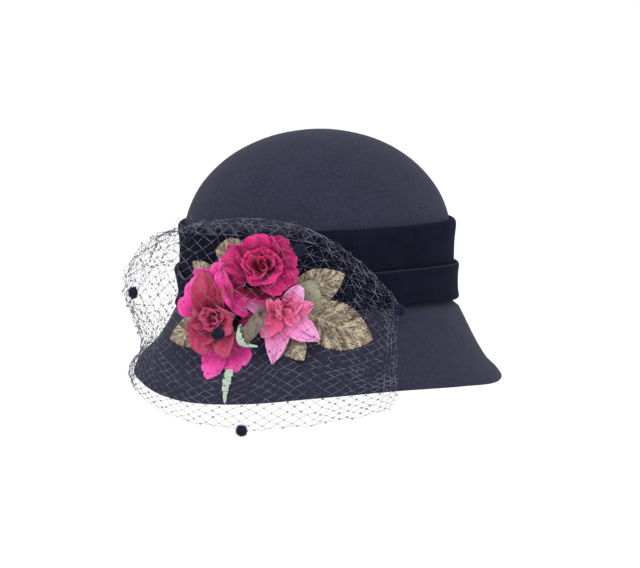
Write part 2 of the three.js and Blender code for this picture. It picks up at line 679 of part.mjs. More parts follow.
addSprayPiece("rose_lower", (spare) => flowerSolid("rose_lower", roundPetal, spare), materials.rose_lower);
addSprayPiece("rose_upper", (spare) => flowerSolid("rose_upper", roundPetal, spare), materials.rose_upper);
addSprayPiece("blossom", (spare) => flowerSolid("blossom", pointedPetal, spare), materials.blossom);
addSprayPiece("bud", budSolid, materials.olive);
addSprayPiece("bud_sepal", sepalSolid, materials.mint);
const leafMaterial = { leaf_sage: materials.sage, sprig: materials.mint };
for (const [name, row] of Object.entries(leaves)) {
  addSprayPiece(name, (spare) => leafSolid(row, spare), leafMaterial[name] ?? materials.gold_leaf);
}

const knots = veilKnots();
addPiece("veil", netGeometry(knots, veil.strand, veil.wall), materials.net);
for (const dot of dots) {
  addPiece(dot.name, dotGeometry(knots, dot), materials.net);
}

export default cloche;
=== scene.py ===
import math
import random

import bpy
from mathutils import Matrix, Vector, noise


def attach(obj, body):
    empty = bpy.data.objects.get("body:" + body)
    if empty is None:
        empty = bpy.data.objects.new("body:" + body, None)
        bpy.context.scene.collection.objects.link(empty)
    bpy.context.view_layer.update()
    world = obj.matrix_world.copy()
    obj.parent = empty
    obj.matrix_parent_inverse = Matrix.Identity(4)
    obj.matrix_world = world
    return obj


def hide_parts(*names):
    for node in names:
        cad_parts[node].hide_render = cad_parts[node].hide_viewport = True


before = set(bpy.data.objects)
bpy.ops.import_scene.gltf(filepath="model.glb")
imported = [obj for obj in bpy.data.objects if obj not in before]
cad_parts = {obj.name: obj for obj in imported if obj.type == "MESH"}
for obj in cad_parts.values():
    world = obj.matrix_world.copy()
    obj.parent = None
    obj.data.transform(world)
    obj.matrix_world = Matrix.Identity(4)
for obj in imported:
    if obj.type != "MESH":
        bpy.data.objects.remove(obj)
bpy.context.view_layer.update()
scene = bpy.context.scene
mm = 0.001


def lerp(a, b, t):
    return a + (b - a) * t


def clamp(x, low=0.0, high=1.0):
    return max(low, min(high, x))


def ease(x, low, high):
    t = clamp((x - low) / (high - low))
    return t * t * (3 - 2 * t)


def srgb(red, green, blue):
    def linear(c):
        c = c / 255
        return c / 12.92 if c <= 0.04045 else ((c + 0.055) / 1.055) ** 2.4

    return (linear(red), linear(green), linear(blue), 1.0)


def facing(azimuth, lift=0.0):
    turn = math.radians(azimuth)
    tilt = math.radians(lift)
    return Vector((math.sin(turn) * math.cos(tilt), -math.cos(turn) * math.cos(tilt), math.sin(tilt)))


# camera, at the photograph's angle
shot = {
    "azimuth": 55,
    "elevation": 7,
    "distance": 2000,
    "aimHeight": 14.8,
    "aside": 2.1,
    "lens": 159.8,
    "sight": 2000,  # metres
}

back = facing(shot["azimuth"], shot["elevation"])
aside = facing(shot["azimuth"] + 90)
aim = Vector((0, 0, shot["aimHeight"])) + aside * shot["aside"]
cameraData = bpy.data.cameras.new("camera")
cameraData.lens = shot["lens"]
cameraData.clip_end = shot["sight"]
camera = bpy.data.objects.new("camera", cameraData)
camera.location = (aim + back * shot["distance"]) * mm
camera.rotation_euler = (-back).to_track_quat("-Z", "Y").to_euler()
scene.collection.objects.link(camera)
scene.camera = camera
print("camera placed")


# hat shape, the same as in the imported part
hat = {
    "headLong": 196,
    "headWide": 166,
    "feltWall": 2.5,
    "crownHeight": 124,
    "domeFoot": 49,
    "crownLean": 0.976,
    "crownSet": 0.8,
    "sideLift": 3.5,
    "bandTop": 61,
    "bandProud": 6,
}
# azimuth, height of the rim, how far it stands out beyond the head oval
rimRows = [
    (-180, -50.5, 35),
    (-120, -44, 34),
    (-70, -41.5, 33),
    (-35, -42.5, 32.5),
    (-15, -44, 33),
    (0, -49.2, 33.5),
    (14, -51.8, 34),
    (32, -50.2, 34),
    (55, -45.5, 34),
    (82, -43, 34.5),
    (110, -45.6, 35),
    (138, -50.4, 35.5),
    (180, -50.5, 35),
]
# share of the way down to the rim, share of the reach at the front, and at the back
brimRows = [
    (0, 0.135, 0.135),
    (0.15, 0.23, 0.24),
    (0.36, 0.395, 0.38),
    (0.55, 0.57, 0.52),
    (0.76, 0.87, 0.7),
    (0.9, 0.96, 0.9),
    (1, 1, 1),
]


def columnAt(rows, place, column):
    # smooth curve through a table's rows, closed where the table spans a full turn
    last = len(rows) - 1
    turned = rows[last][0] - rows[0][0] == 360

    def slope(k):
        wraps = turned and k in (0, last)
        low = rows[last - 1 if wraps else max(k - 1, 0)]
        high = rows[1 if wraps else min(k + 1, last)]
        return (high[column] - low[column]) / (high[0] - low[0] + (360 if wraps else 0))

    k = 1
    while k < last and place > rows[k][0]:
        k += 1
    span = rows[k][0] - rows[k - 1][0]
    t = (place - rows[k - 1][0]) / span
    a = rows[k - 1][column]
    b = rows[k][column]
    da = slope(k - 1) * span
    db = slope(k) * span
    return a + t * (da + t * (3 * (b - a) - 2 * da - db + t * (2 * (a - b) + da + db)))


def ovalRadius(azimuth):
    turn = math.radians(azimuth)
    wide = hat["headWide"] / 2 + hat["feltWall"]
    long = hat["headLong"] / 2 + hat["feltWall"]
    return 1 / math.hypot(math.sin(turn) / wide, math.cos(turn) / long)


def headLine(azimuth):
    return -hat["sideLift"] * math.cos(2 * math.radians(azimuth))


def rimAt(azimuth, column):
    return columnAt(rimRows, (azimuth + 540) % 360 - 180, column)


def brimOut(azimuth, drop):
    front = (1 + math.cos(math.radians(azimuth))) / 2
    return rimAt(azimuth, 2) * lerp(columnAt(brimRows, drop, 2), columnAt(brimRows, drop, 1), front)


def crownRadius(azimuth, height):
    head = headLine(azimuth)
    up = clamp((height - head) / (hat["domeFoot"] - head))
    dome = clamp((height - hat["domeFoot"]) / (hat["crownHeight"] - hat["domeFoot"]))
    radius = ovalRadius(azimuth) * lerp(1, hat["crownLean"], up) * math.sqrt(1 - dome * dome)
    return radius - hat["crownSet"] * up * math.cos(math.radians(azimuth))


def hatPoint(azimuth, radius, height):
    turn = math.radians(azimuth)
    return Vector((radius * math.sin(turn), -radius * math.cos(turn), height))


def placeOf(place):
    return hatPoint(place[0], ovalRadius(place[0]) + place[2], place[1])


def hatSkin(azimuth, height):
    # outermost radius of felt and band at a height
    head = headLine(azimuth)
    if height >= head:
        return crownRadius(azimuth, height) + (hat["bandProud"] if height < hat["bandTop"] else 0)
    drop = clamp((height - head) / (rimAt(azimuth, 1) - head))
    return ovalRadius(azimuth) + max(brimOut(azimuth, drop), hat["bandProud"] * (1 - drop * 6))


def clearOfHat(point, gap):
    # what is sewn on lies on the hat, never in it
    azimuth = math.degrees(math.atan2(point.x, -point.y))
    if point.z < rimAt(azimuth, 1):
        return point
    radius = math.hypot(point.x, point.y)
    least = hatSkin(azimuth, point.z) + gap
    if radius >= least:
        return point
    return hatPoint(azimuth, least, point.z)


# meshes
def meshObject(name, points, faces, material, sharp=None, tones=None, uvs=None):
    mesh = bpy.data.meshes.new(name)
    mesh.from_pydata([point * mm for point in points], [], faces)
    mesh.materials.append(material)
    mesh.shade_smooth()
    if sharp:
        mesh.set_sharp_from_angle(angle=math.radians(sharp))
    if tones:
        layer = mesh.attributes.new("tone", "FLOAT_COLOR", "POINT")
        layer.data.foreach_set("color", [value for tone in tones for value in tone])
    if uvs:
        corners = [0] * len(mesh.loops)
        mesh.loops.foreach_get("vertex_index", corners)
        layer = mesh.uv_layers.new(name="UVMap")
        layer.data.foreach_set("uv", [value for corner in corners for value in uvs[corner]])
    obj = bpy.data.objects.new(name, mesh)
    scene.collection.objects.link(obj)
    return obj


def loft(rings, poles=None):
    # rings of equal length, joined in order; a pole closes each end, or the last ring joins the first
    count = len(rings[0])
    points = [point for ring in rings for point in ring]
    faces = []
    pairs = [(k, k + 1) for k in range(len(rings) - 1)]
    if not poles:
        pairs.append((len(rings) - 1, 0))
    for upper, lower in pairs:
        for a in range(count):
            b = (a + 1) % count
            faces.append((lower * count + a, lower * count + b, upper * count + b, upper * count + a))
    if poles:
        last = (len(rings) - 1) * count
        points = points + list(poles)
        for a in range(count):
            b = (a + 1) % count
            faces.append((len(points) - 2, a, b))
            faces.append((len(points) - 1, last + b, last + a))
    return points, faces


def slab(grid, wall):
    # a thin closed wall about a grid of points, rows along and columns across
    long = len(grid)
    wide = len(grid[0])
    front = []
    rear = []
    for j in range(long):
        for i in range(wide):
            u = grid[j][min(i + 1, wide - 1)] - grid[j][max(i - 1, 0)]
            v = grid[min(j + 1, long - 1)][i] - grid[max(j - 1, 0)][i]
            normal = u.cross(v).normalized() * (wall / 2)
            front.append(grid[j][i] + normal)
            rear.append(grid[j][i] - normal)
    other = len(front)
    faces = []
    for j in range(long - 1):
        for i in range(wide - 1):
            a = j * wide + i
            faces.append((a, a + 1, a + 1 + wide, a + wide))
            faces.append((other + a, other + a + wide, other + a + 1 + wide, other + a + 1))
    edge = [i for i in range(wide - 1)]
    edge += [j * wide + wide - 1 for j in range(long - 1)]
    edge += [(long - 1) * wide + i for i in range(wide - 1, 0, -1)]
    edge += [j * wide for j in range(long - 1, 0, -1)]
    for k, a in enumerate(edge):
        b = edge[(k + 1) % len(edge)]
        faces.append((a, other + a, other + b, b))
    return front + rear, faces


def gathered(parts):
    # several (points, faces, tones, uvs) as one
    points = []
    faces = []
    tones = []
    uvs = []
    for part in parts:
        first = len(points)
        points += part[0]
        faces += [tuple(first + k for k in face) for face in part[1]]
        tones += part[2]
        uvs += part[3]
    return points, faces, tones, uvs


def clothPart(across, along, wall, spotAt):
    # a thin cut of cloth: spotAt(s, v) gives a point and its tone, s from 0 to 1 across and v along
    grid = []
    tones = []
    uvs = []
    for j in range(along + 1):
        v = j / along
        spots = [spotAt(i / across, v) for i in range(across + 1)]
        grid.append([point for point, tone in spots])
        tones += [tone for point, tone in spots]
        uvs += [(i / across, v) for i in range(across + 1)]
    points, faces = slab(grid, wall)
    return points, faces, tones * 2, uvs * 2


def settle(piece, slot, *nodes):
    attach(piece, "root")
    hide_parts(*nodes)
    return piece


clothSharp = 65  # degrees


def clothPiece(name, parts, material, slot, node):
    points, faces, tones, uvs = gathered(parts)
    settle(meshObject(name, points, faces, material, clothSharp, tones, uvs), slot, node)
    print(node, len(faces), "faces")


def baked(obj):
    # the result of an object's modifiers as its plain mesh
    graph = bpy.context.evaluated_depsgraph_get()
    mesh = bpy.data.meshes.new_from_object(obj.evaluated_get(graph))
    old = obj.data
    obj.modifiers.clear()
    obj.data = mesh
    mesh.name = obj.name
    bpy.data.meshes.remove(old)


# node trees
colourSocket = "NodeSocketColor"
floatSocket = "NodeSocketFloat"
wholeSocket = "NodeSocketInt"
geometrySocket = "NodeSocketGeometry"


def fill(tree, node, inputs):
    # a value sets an input, and another node's output is linked to it
    for name, value in inputs.items():
        if isinstance(value, bpy.types.NodeSocket):
            tree.links.new(value, node.inputs[name])
        else:
            node.inputs[name].default_value = value


def addNode(tree, kind, inputs=None, **settings):
    node = tree.nodes.new(kind)
    for name, value in settings.items():
        setattr(node, name, value)
    fill(tree, node, inputs or {})
    return node


def addSockets(tree, inputs, outputs):
    for way, sockets in (("INPUT", inputs), ("OUTPUT", outputs)):
        for name, kind in sockets:
            tree.interface.new_socket(name, in_out=way, socket_type=kind)


def mathNode(tree, operation, *values):
    return addNode(tree, "ShaderNodeMath", dict(enumerate(values)), operation=operation).outputs[0]


def vectorNode(tree, *values):
    return addNode(tree, "ShaderNodeCombineXYZ", dict(enumerate(values))).outputs[0]


def mixColour(tree, factor, first, second):
    return addNode(tree, "ShaderNodeMix", {0: factor, 6: first, 7: second}, data_type="RGBA").outputs[2]


def spread(tree, value, low, high, least=0.0, most=1.0):
    ends = {0: value, 1: low, 2: high, 3: least, 4: most}
    return addNode(tree, "ShaderNodeMapRange", ends, interpolation_type="SMOOTHSTEP").outputs[0]


def noiseNode(tree, place, scale, detail, roughness=0.5, distortion=0.0):
    grain = {"Detail": detail, "Roughness": roughness, "Distortion": distortion}
    return addNode(tree, "ShaderNodeTexNoise", {"Vector": place, "Scale": scale, **grain}).outputs["Fac"]


def toneNode(tree):
    # the four numbers that a piece keeps at each of its points
    tone = addNode(tree, "ShaderNodeAttribute", attribute_name="tone").outputs
    parts = addNode(tree, "ShaderNodeSeparateColor", {0: tone["Color"]}).outputs
    return *parts, tone["Alpha"]


def startGroup(name, colours, numbers):
    # every shader group puts out a colour, a roughness and a height
    tree = bpy.data.node_groups.new(name, "ShaderNodeTree")
    inputs = [(socket, colourSocket) for socket in colours]
    inputs += [(socket, floatSocket) for socket in numbers]
    addSockets(tree, inputs, [("Colour", colourSocket), ("Roughness", floatSocket), ("Height", floatSocket)])
    places = addNode(tree, "ShaderNodeTexCoord").outputs
    return tree, addNode(tree, "NodeGroupInput").outputs, places


def endGroup(tree, colour, roughness, height):
    addNode(tree, "NodeGroupOutput", {"Colour": colour, "Roughness": roughness, "Height": height})
    return tree


# materials
def makeFibreGroup():
    # matted or cut fibre: cloudy tone, fine flecks and a soft nap
    numbers = ("Cloud Scale", "Fibre Scale", "Cloud", "Fleck")
    tree, start, places = startGroup("fibreNap", ("Dark", "Light", "Marked Tone"), numbers)
    toneMark = toneNode(tree)[0]
    cloud = noiseNode(tree, places["Object"], start["Cloud Scale"], 3.0, 0.6)
    fibre = noiseNode(tree, places["Object"], start["Fibre Scale"], 5.0, 0.72, 1.2)
    cloudTone = spread(tree, cloud, 0.3, 0.7, -0.5, 0.5)
    fleckTone = mathNode(tree, "SUBTRACT", fibre, 0.5)
    share = mathNode(tree, "MULTIPLY_ADD", cloudTone, start["Cloud"], 0.5)
    share = mathNode(tree, "MULTIPLY_ADD", fleckTone, start["Fleck"], share)
    colour = mixColour(tree, share, start["Dark"], start["Light"])
    # mixed towards the marked tone where a piece's tone asks for it: the band's painted lip highlight, the
    # net's knots
    colour = mixColour(tree, toneMark, colour, start["Marked Tone"])
    return endGroup(tree, colour, spread(tree, fibre, 0.3, 0.7, 0.86, 1.0), fibre)


def makePetalGroup():
    # dyed cotton: blade and edge tones, the lighter edge partly a painted highlight, a painted shade towards
    # each petal's root, streaks along the petal, creases and a fine weave
    colours = ("Root", "Blade", "Edge", "Second", "Second Edge")
    tree, start, places = startGroup("dyedPetal", colours, ("Streak", "Root Shade Depth", "Second Shade Depth"))
    along, chance, kind = toneNode(tree)[:3]
    uv = addNode(tree, "ShaderNodeSeparateXYZ", {0: places["UV"]}).outputs
    lane = mathNode(tree, "MULTIPLY_ADD", uv[0], 17.0, mathNode(tree, "MULTIPLY", chance, 41.0))
    stretch = mathNode(tree, "MULTIPLY", uv[1], 2.2)
    lanes = vectorNode(tree, lane, stretch, mathNode(tree, "MULTIPLY", chance, 9.0))
    streak = noiseNode(tree, lanes, 1.0, 4.0, 0.6, 0.4)
    stain = noiseNode(tree, places["Object"], 130.0, 3.0, 0.6)
    weave = noiseNode(tree, places["Object"], 1900.0, 2.0)
    crease = noiseNode(tree, places["Object"], 260.0, 4.0, 0.55, 0.6)
    blade = mixColour(tree, kind, start["Blade"], start["Second"])
    rim = mixColour(tree, kind, start["Edge"], start["Second Edge"])
    streakTone = mathNode(tree, "SUBTRACT", spread(tree, streak, 0.32, 0.7), 0.5)
    # lighter towards the petal's tip: partly the dye, partly a painted highlight on the lit rims
    edgeShare = mathNode(tree, "MULTIPLY", spread(tree, along, 0.5, 1.0), 0.75)
    edgeShare = mathNode(tree, "ADD", edgeShare, mathNode(tree, "MULTIPLY", chance, 0.2))
    edgeShare = mathNode(tree, "MULTIPLY_ADD", streakTone, start["Streak"], edgeShare)
    colour = mixColour(tree, edgeShare, blade, rim)
    # painted shade towards each petal's root, as deep as the petal's kind sets, with some petals darker at
    # random
    darker = mathNode(tree, "MULTIPLY", mathNode(tree, "SUBTRACT", 1.0, chance), 0.22)
    rootShade = mathNode(tree, "ADD", spread(tree, along, 0.1, 0.78, 0.95, 0.0), darker)
    deeper = mathNode(tree, "SUBTRACT", start["Second Shade Depth"], start["Root Shade Depth"])
    depth = mathNode(tree, "MULTIPLY_ADD", kind, deeper, start["Root Shade Depth"])
    colour = mixColour(tree, mathNode(tree, "MULTIPLY", rootShade, depth), colour, start["Root"])
    colour = mixColour(tree, spread(tree, stain, 0.45, 0.75, 0.0, 0.3), colour, start["Root"])
    roughness = spread(tree, stain, 0.3, 0.7, 0.7, 0.88)
    height = mathNode(tree, "MULTIPLY_ADD", streak, 0.8, mathNode(tree, "MULTIPLY", weave, 0.25))
    return endGroup(tree, colour, roughness, mathNode(tree, "MULTIPLY_ADD", crease, 0.9, height))


def makeLeafGroup():
    # panne velvet with a rubbed metallic print: crushed pile in two tones and pale veins
    tree, start, places = startGroup("rubbedLeaf", ("Ground", "Print", "Shadow"), ("Crush Scale", "Crush"))
    along, chance, vein, aside = toneNode(tree)
    lane = mathNode(tree, "MULTIPLY_ADD", along, 24.0, mathNode(tree, "MULTIPLY", aside, -7.0))
    stretch = mathNode(tree, "MULTIPLY", aside, 3.0)
    lanes = vectorNode(tree, lane, stretch, mathNode(tree, "MULTIPLY", chance, 31.0))
    streak = noiseNode(tree, lanes, 1.0, 4.0, 0.62, 0.9)
    crush = noiseNode(tree, places["Object"], start["Crush Scale"], 5.0, 0.68, 1.6)
    patch = noiseNode(tree, places["Object"], 110.0, 2.0)
    pile = noiseNode(tree, places["Object"], 2400.0, 2.0)
    flattened = mathNode(tree, "MULTIPLY_ADD", crush, 0.5, mathNode(tree, "MULTIPLY", streak, 0.5))
    rubbedAndSheen = spread(tree, flattened, 0.42, 0.6)
    share = mathNode(tree, "MULTIPLY", rubbedAndSheen, start["Crush"])
    share = mathNode(tree, "ADD", share, mathNode(tree, "MULTIPLY", vein, 0.4))
    colour = mixColour(tree, share, start["Ground"], start["Print"])
    colour = mixColour(tree, spread(tree, patch, 0.42, 0.7, 0.0, 0.55), colour, start["Shadow"])
    roughness = spread(tree, rubbedAndSheen, 0.0, 1.0, 0.8, 0.5)
    return endGroup(tree, colour, roughness, mathNode(tree, "MULTIPLY_ADD", pile, 0.2, crush))


fibreGroup = makeFibreGroup()
petalGroup = makePetalGroup()
leafGroup = makeLeafGroup()
print("shader groups made")


def surface(name, group, inputs, finish, bump):
    # a principled material whose colour, roughness and bump come from a shared group
    material = bpy.data.materials.new(name)
    material.use_nodes = True
    tree = material.node_tree
    looks = addNode(tree, "ShaderNodeGroup", inputs, node_tree=group).outputs
    depth = {"Strength": bump[0], "Distance": bump[1] * mm, "Height": looks["Height"]}
    relief = addNode(tree, "ShaderNodeBump", depth).outputs["Normal"]
    linked = {"Base Color": looks["Colour"], "Roughness": looks["Roughness"], "Normal": relief}
    fill(tree, tree.nodes["Principled BSDF"], {**finish, **linked})
    return material


def fibreCloth(name, looks):
    return surface(name, fibreGroup, {**looks["palette"], **looks["grain"]}, looks["finish"], looks["bump"])


def petalCloth(name, looks):
    finish = {"Sheen Weight": 0.25, "Sheen Roughness": 0.5, "Specular IOR Level": 0.25, **looks["finish"]}
    return surface(name, petalGroup, {**looks["palette"], **looks["depth"]}, finish, looks["bump"])


def leafCloth(name, looks):
    return surface(name, leafGroup, {**looks["palette"], **looks["print"]}, looks["finish"], looks["bump"])


# felt body
felt = {
    "round": 192,
    "domeRows": 26,
    "sideRows": 10,
    "rootRows": 4,
    "brimRows": 26,
    "brimRoot": 4.6,
    "rimRound": 1.0,
    "rimRows": 6,
    "uneven": 0.35,
    "palette": {"Dark": srgb(30, 30, 45), "Light": srgb(44, 45, 63), "Marked Tone": srgb(63, 65, 82)},
    "grain": {"Cloud Scale": 50.0, "Cloud": 0.2, "Fibre Scale": 620.0, "Fleck": 5.5},
    "finish": {
        "Sheen Weight": 0.06,
        "Sheen Roughness": 0.6,
        "Sheen Tint": srgb(150, 152, 180),
        "Specular IOR Level": 0.2,
    },
    "bump": (0.45, 0.5),
}


def feltProfile(azimuth):
    head = headLine(azimuth)
    rim = rimAt(azimuth, 1)
    profile = []
    for k in range(1, felt["domeRows"] + 1):
        height = lerp(hat["domeFoot"], hat["crownHeight"], math.cos(math.pi / 2 * k / felt["domeRows"]))
        profile.append((crownRadius(azimuth, height), height))
    root = head + felt["brimRoot"]
    for k in range(1, felt["sideRows"] + 1):
        height = lerp(hat["domeFoot"], root, k / felt["sideRows"])
        profile.append((crownRadius(azimuth, height), height))
    for k in range(1, felt["rootRows"] + 1):
        flare = k / felt["rootRows"]
        height = lerp(root, head, flare)
        profile.append((crownRadius(azimuth, height) + brimOut(azimuth, 0) * flare**1.3, height))
    for k in range(1, felt["brimRows"] + 1):
        drop = k / felt["brimRows"]
        profile.append((ovalRadius(azimuth) + brimOut(azimuth, drop), lerp(head, rim, drop)))
    return profile


def feltSection(azimuth):
    outside = feltProfile(azimuth)
    inside = []
    for k, (radius, height) in enumerate(outside):
        before = outside[k - 1] if k else (0, hat["crownHeight"])
        after = outside[min(k + 1, len(outside) - 1)]
        way = Vector((after[0] - before[0], after[1] - before[1])).normalized()
        inside.append((radius + way.y * hat["feltWall"], height - way.x * hat["feltWall"]))
    end = Vector(outside[-1])
    way = (end - Vector(outside[-2])).normalized()
    over = Vector(inside[-1]) - end
    rim = []
    for k in range(1, felt["rimRows"]):
        turn = math.pi * k / felt["rimRows"]
        place = end + over * (0.5 - 0.5 * math.cos(turn)) + way * (felt["rimRound"] * math.sin(turn))
        rim.append((place.x, place.y))
    return outside + rim + inside[::-1]


def unevenFelt(point):
    wave = noise.noise(point / 46) + 0.5 * noise.noise(point / 17)
    return point + Vector((point.x, point.y, 0.35 * point.z)).normalized() * (felt["uneven"] * wave)


feltMaterial = fibreCloth("feltWool", felt)
columns = [feltSection(360 * a / felt["round"]) for a in range(felt["round"])]
feltRings = []
for k in range(len(columns[0])):
    ring = [hatPoint(360 * a / felt["round"], *columns[a][k]) for a in range(felt["round"])]
    feltRings.append([unevenFelt(point) for point in ring])
tips = [Vector((0, hat["crownSet"], hat["crownHeight"] - depth)) for depth in (0, hat["feltWall"])]
feltPoints, feltFaces = loft(feltRings, [unevenFelt(tip) for tip in tips])
feltBody = meshObject("feltBody", feltPoints, feltFaces, feltMaterial)
settle(feltBody, "felt", "felt_body")
print("felt body", len(feltFaces), "faces")


# velvet band
band = {
    "round": 240,
    "perSpan": 3,
    "pinchAzimuth": -30,
    "pinchSpread": 26,
    "pinchHeight": 14,
    "pinchReach": 9,
    "pinchDepth": 2.6,
    "ripple": 0.35,
    "lipHeight": 30.6,
    "dipAzimuth": -7,
    "dipSpread": 6,
    "dipDepth": 4.5,
    "flat": (0.075, 0.62),
    # the marked tone is a painted highlight along the lower fold's lip
    "palette": {"Dark": srgb(12, 13, 24), "Light": srgb(22, 24, 39), "Marked Tone": srgb(90, 96, 108)},
    "grain": {"Cloud Scale": 60.0, "Cloud": 0.5, "Fibre Scale": 1700.0, "Fleck": 1.4},
    "finish": {
        "Sheen Weight": 0.04,
        "Sheen Roughness": 0.35,
        "Sheen Tint": srgb(96, 104, 190),
        "Specular IOR Level": 0.04,
    },
    "bump": (0.3, 0.25),
}
# its section: height, how far it stands proud of the felt, how much of the side lift it follows
bandRows = [
    (59.8, 0.6, 0.2),
    (60.9, 1.7, 0.2),
    (60.8, 3.4, 0.2),
    (59.5, 4.5, 0.2),
    (57.4, 4.6, 0.2),
    (51.6, 3.6, 0.3),
    (45, 2.8, 0.4),
    (37, 2.4, 0.5),
    (31, 2.2, 0.55),
    (27.6, 1.7, 0.55),
    (28.2, 2.7, 0.55),
    (30, 3.2, 0.55),
    (30.9, 4.3, 0.55),
    (30.1, 5.5, 0.55),
    (28, 5.8, 0.55),
    (23, 5, 0.65),
    (16, 4.6, 0.75),
    (11, 4.7, 0.85),
    (7.6, 5.2, 0.9),
    (6, 4.9, 0.9),
    (5.3, 3.6, 0.9),
    (5.5, 1.2, 0.9),
    (6.4, 0.5, 0.9),
    (18, 0.5, 0.7),
    (31, 0.5, 0.55),
    (46, 0.5, 0.4),
]


def closedCurve(rows, perSpan):
    # even Catmull-Rom through a closed list of rows
    made = []
    count = len(rows)
    for k in range(count):
        a, b, c, d = (Vector(rows[(k + step) % count]) for step in (-1, 0, 1, 2))
        for part in range(perSpan):
            t = part / perSpan
            bend = (a * -1 + b * 3 - c * 3 + d) * (t * t * t) + (a * 2 - b * 5 + c * 4 - d) * (t * t)
            made.append((bend + (c - a) * t + b * 2) / 2)
    return made


def dipped(azimuth):
    # the lower fold's lip sags in one place at the front
    off = ((azimuth - band["dipAzimuth"] + 540) % 360 - 180) / band["dipSpread"]
    return math.exp(-off * off)


def bandLipHighlight(azimuth, row):
    # painted highlight along the lower fold's lip, where it catches the light, strongest where the lip dips
    # at the front
    rubbedAndSheen = math.exp(-(((row.x - band["lipHeight"]) / 0.55) ** 2)) * ease(row.y, 3, 4)
    return rubbedAndSheen * (0.14 + 0.6 * dipped(azimuth))


def bandPoint(azimuth, row):
    height = row.x + row.z * headLine(azimuth)
    proud = max(row.y, 0.5)
    if proud > 1.2:
        off = ((azimuth - band["pinchAzimuth"] + 540) % 360 - 180) / band["pinchSpread"]
        away = math.hypot(off, (row.x - band["pinchHeight"]) / band["pinchReach"])
        proud -= band["pinchDepth"] * math.exp(-away * away)
        turn = facing(azimuth) * 5
        proud += band["ripple"] * noise.noise(Vector((turn.x, turn.y, row.x / 16)))
        height += 0.4 * noise.noise(Vector((turn.x * 0.6, turn.y * 0.6, 7 + row.x / 30)))
        height -= band["dipDepth"] * dipped(azimuth) * math.exp(-(((row.x - band["lipHeight"]) / 5) ** 2))
    return hatPoint(azimuth, crownRadius(azimuth, height) + proud, height)


velvetMaterial = fibreCloth("bandVelvet", band)
section = closedCurve(bandRows, band["perSpan"])
bandTurns = [360 * a / band["round"] for a in range(band["round"])]
bandRings = [[bandPoint(turn, row) for turn in bandTurns] for row in section]
bandTones = [(bandLipHighlight(turn, row), 0, 0, 1) for row in section for turn in bandTurns]
bandPoints, bandFaces = loft(bandRings)
velvetBand = meshObject("velvetBand", bandPoints, bandFaces, velvetMaterial, tones=bandTones)
settle(velvetBand, "velvet", "velvet_band")
print("velvet band", len(bandFaces), "faces")


# flower heads: where the base sits, which way the head faces, and the size of the core under the petals
heads = {
    "rose_upper": {"base": (34.6, 38, 5), "face": (48, 9), "radius": 6, "height": 15, "root": 8},
    "rose_lower": {"base": (17.8, 3, 8), "face": (37, 3), "radius": 6.5, "height": 15, "root": 8},
    "blossom": {"base": (41.6, 6, 8.5), "face": (52, 2), "radius": 3.6, "height": 11, "root": 8},
}
# kind of dye, how pointed, where the petal starts (right, up, out), angle from the right, length, width,
# rise, curl, cup, roll of the tip, twist about its length, ruffle
upperPetals = [
    (0.0, 0, 0, 0, 6, 40, 22, 23, 24, -4, 30, -45, 6, 1.2),
    (0.0, 0, 0, 0, 6, 336, 22, 18, 22, -6, 24, -40, 8, 1.0),
    (0.0, 0, 0, 0, 7, 8, 22, 25, 28, -6, 24, -50, -6, 1.5),
    (0.0, 0, 0, 0, 7, 124, 19, 25, 36, 0, 26, -55, 6, 1.0),
    (0.0, 0, 0, 0, 8, 94, 20, 27, 38, 2, 24, -60, -8, 0.9),
    (0.0, 0, 0, 0, 7, 168, 26, 25, 28, -4, 11, -50, 10, 1.2),
    (0.1, 0, 0, -1, 6, 203, 19, 12, 24, 0, 5, -45, -14, 0.8),
    (0.0, 0, 0, 0, 8, 314, 21, 23, 34, 8, 17, -40, -6, 1.3),
    (0.1, 0, -1, -12, 6, 258, 16, 36, -6, 112, 36, 20, 6, 0.8),
    (0.0, 0, 0, 0, 8, 264, 14, 23, 62, 30, 13, -80, -14, 0.6),
    (0.2, 0, 0, 0, 9, 160, 15, 20, 62, 48, 11, -40, 12, 0.7),
    (0.3, 0, 0, 0, 9, 214, 14, 16, 64, 48, 9, -45, 14, 0.6),
    (0.0, 0, 1, -1, 9, 350, 16, 30, 62, 52, 13, -45, -8, 0.6),
    (0.1, 0, 0, 0, 10, 66, 14, 19, 66, 46, 10, -40, 10, 0.7),
    (0.3, 0, 0, 0, 10, 114, 13, 16, 68, 50, 8, -35, -12, 0.7),
    (0.6, 0, 1, 0, 12, 30, 11.5, 15, 80, 54, 5, -40, 16, 0.8),
    (0.7, 0, -1, 0, 12, 152, 11.5, 15, 80, 56, 5, -40, -16, 0.8),
    (0.7, 0, 0, -1, 12, 262, 10.5, 14, 82, 58, 5, -35, 14, 0.7),
    (0.9, 0, 1, 0, 13, 95, 10.5, 10, 90, 76, 2.6, -20, -12, 0.6),
    (1.0, 0, 0, 0, 13, 330, 10, 9, 92, 78, 2.3, -15, 10, 0.6),
]
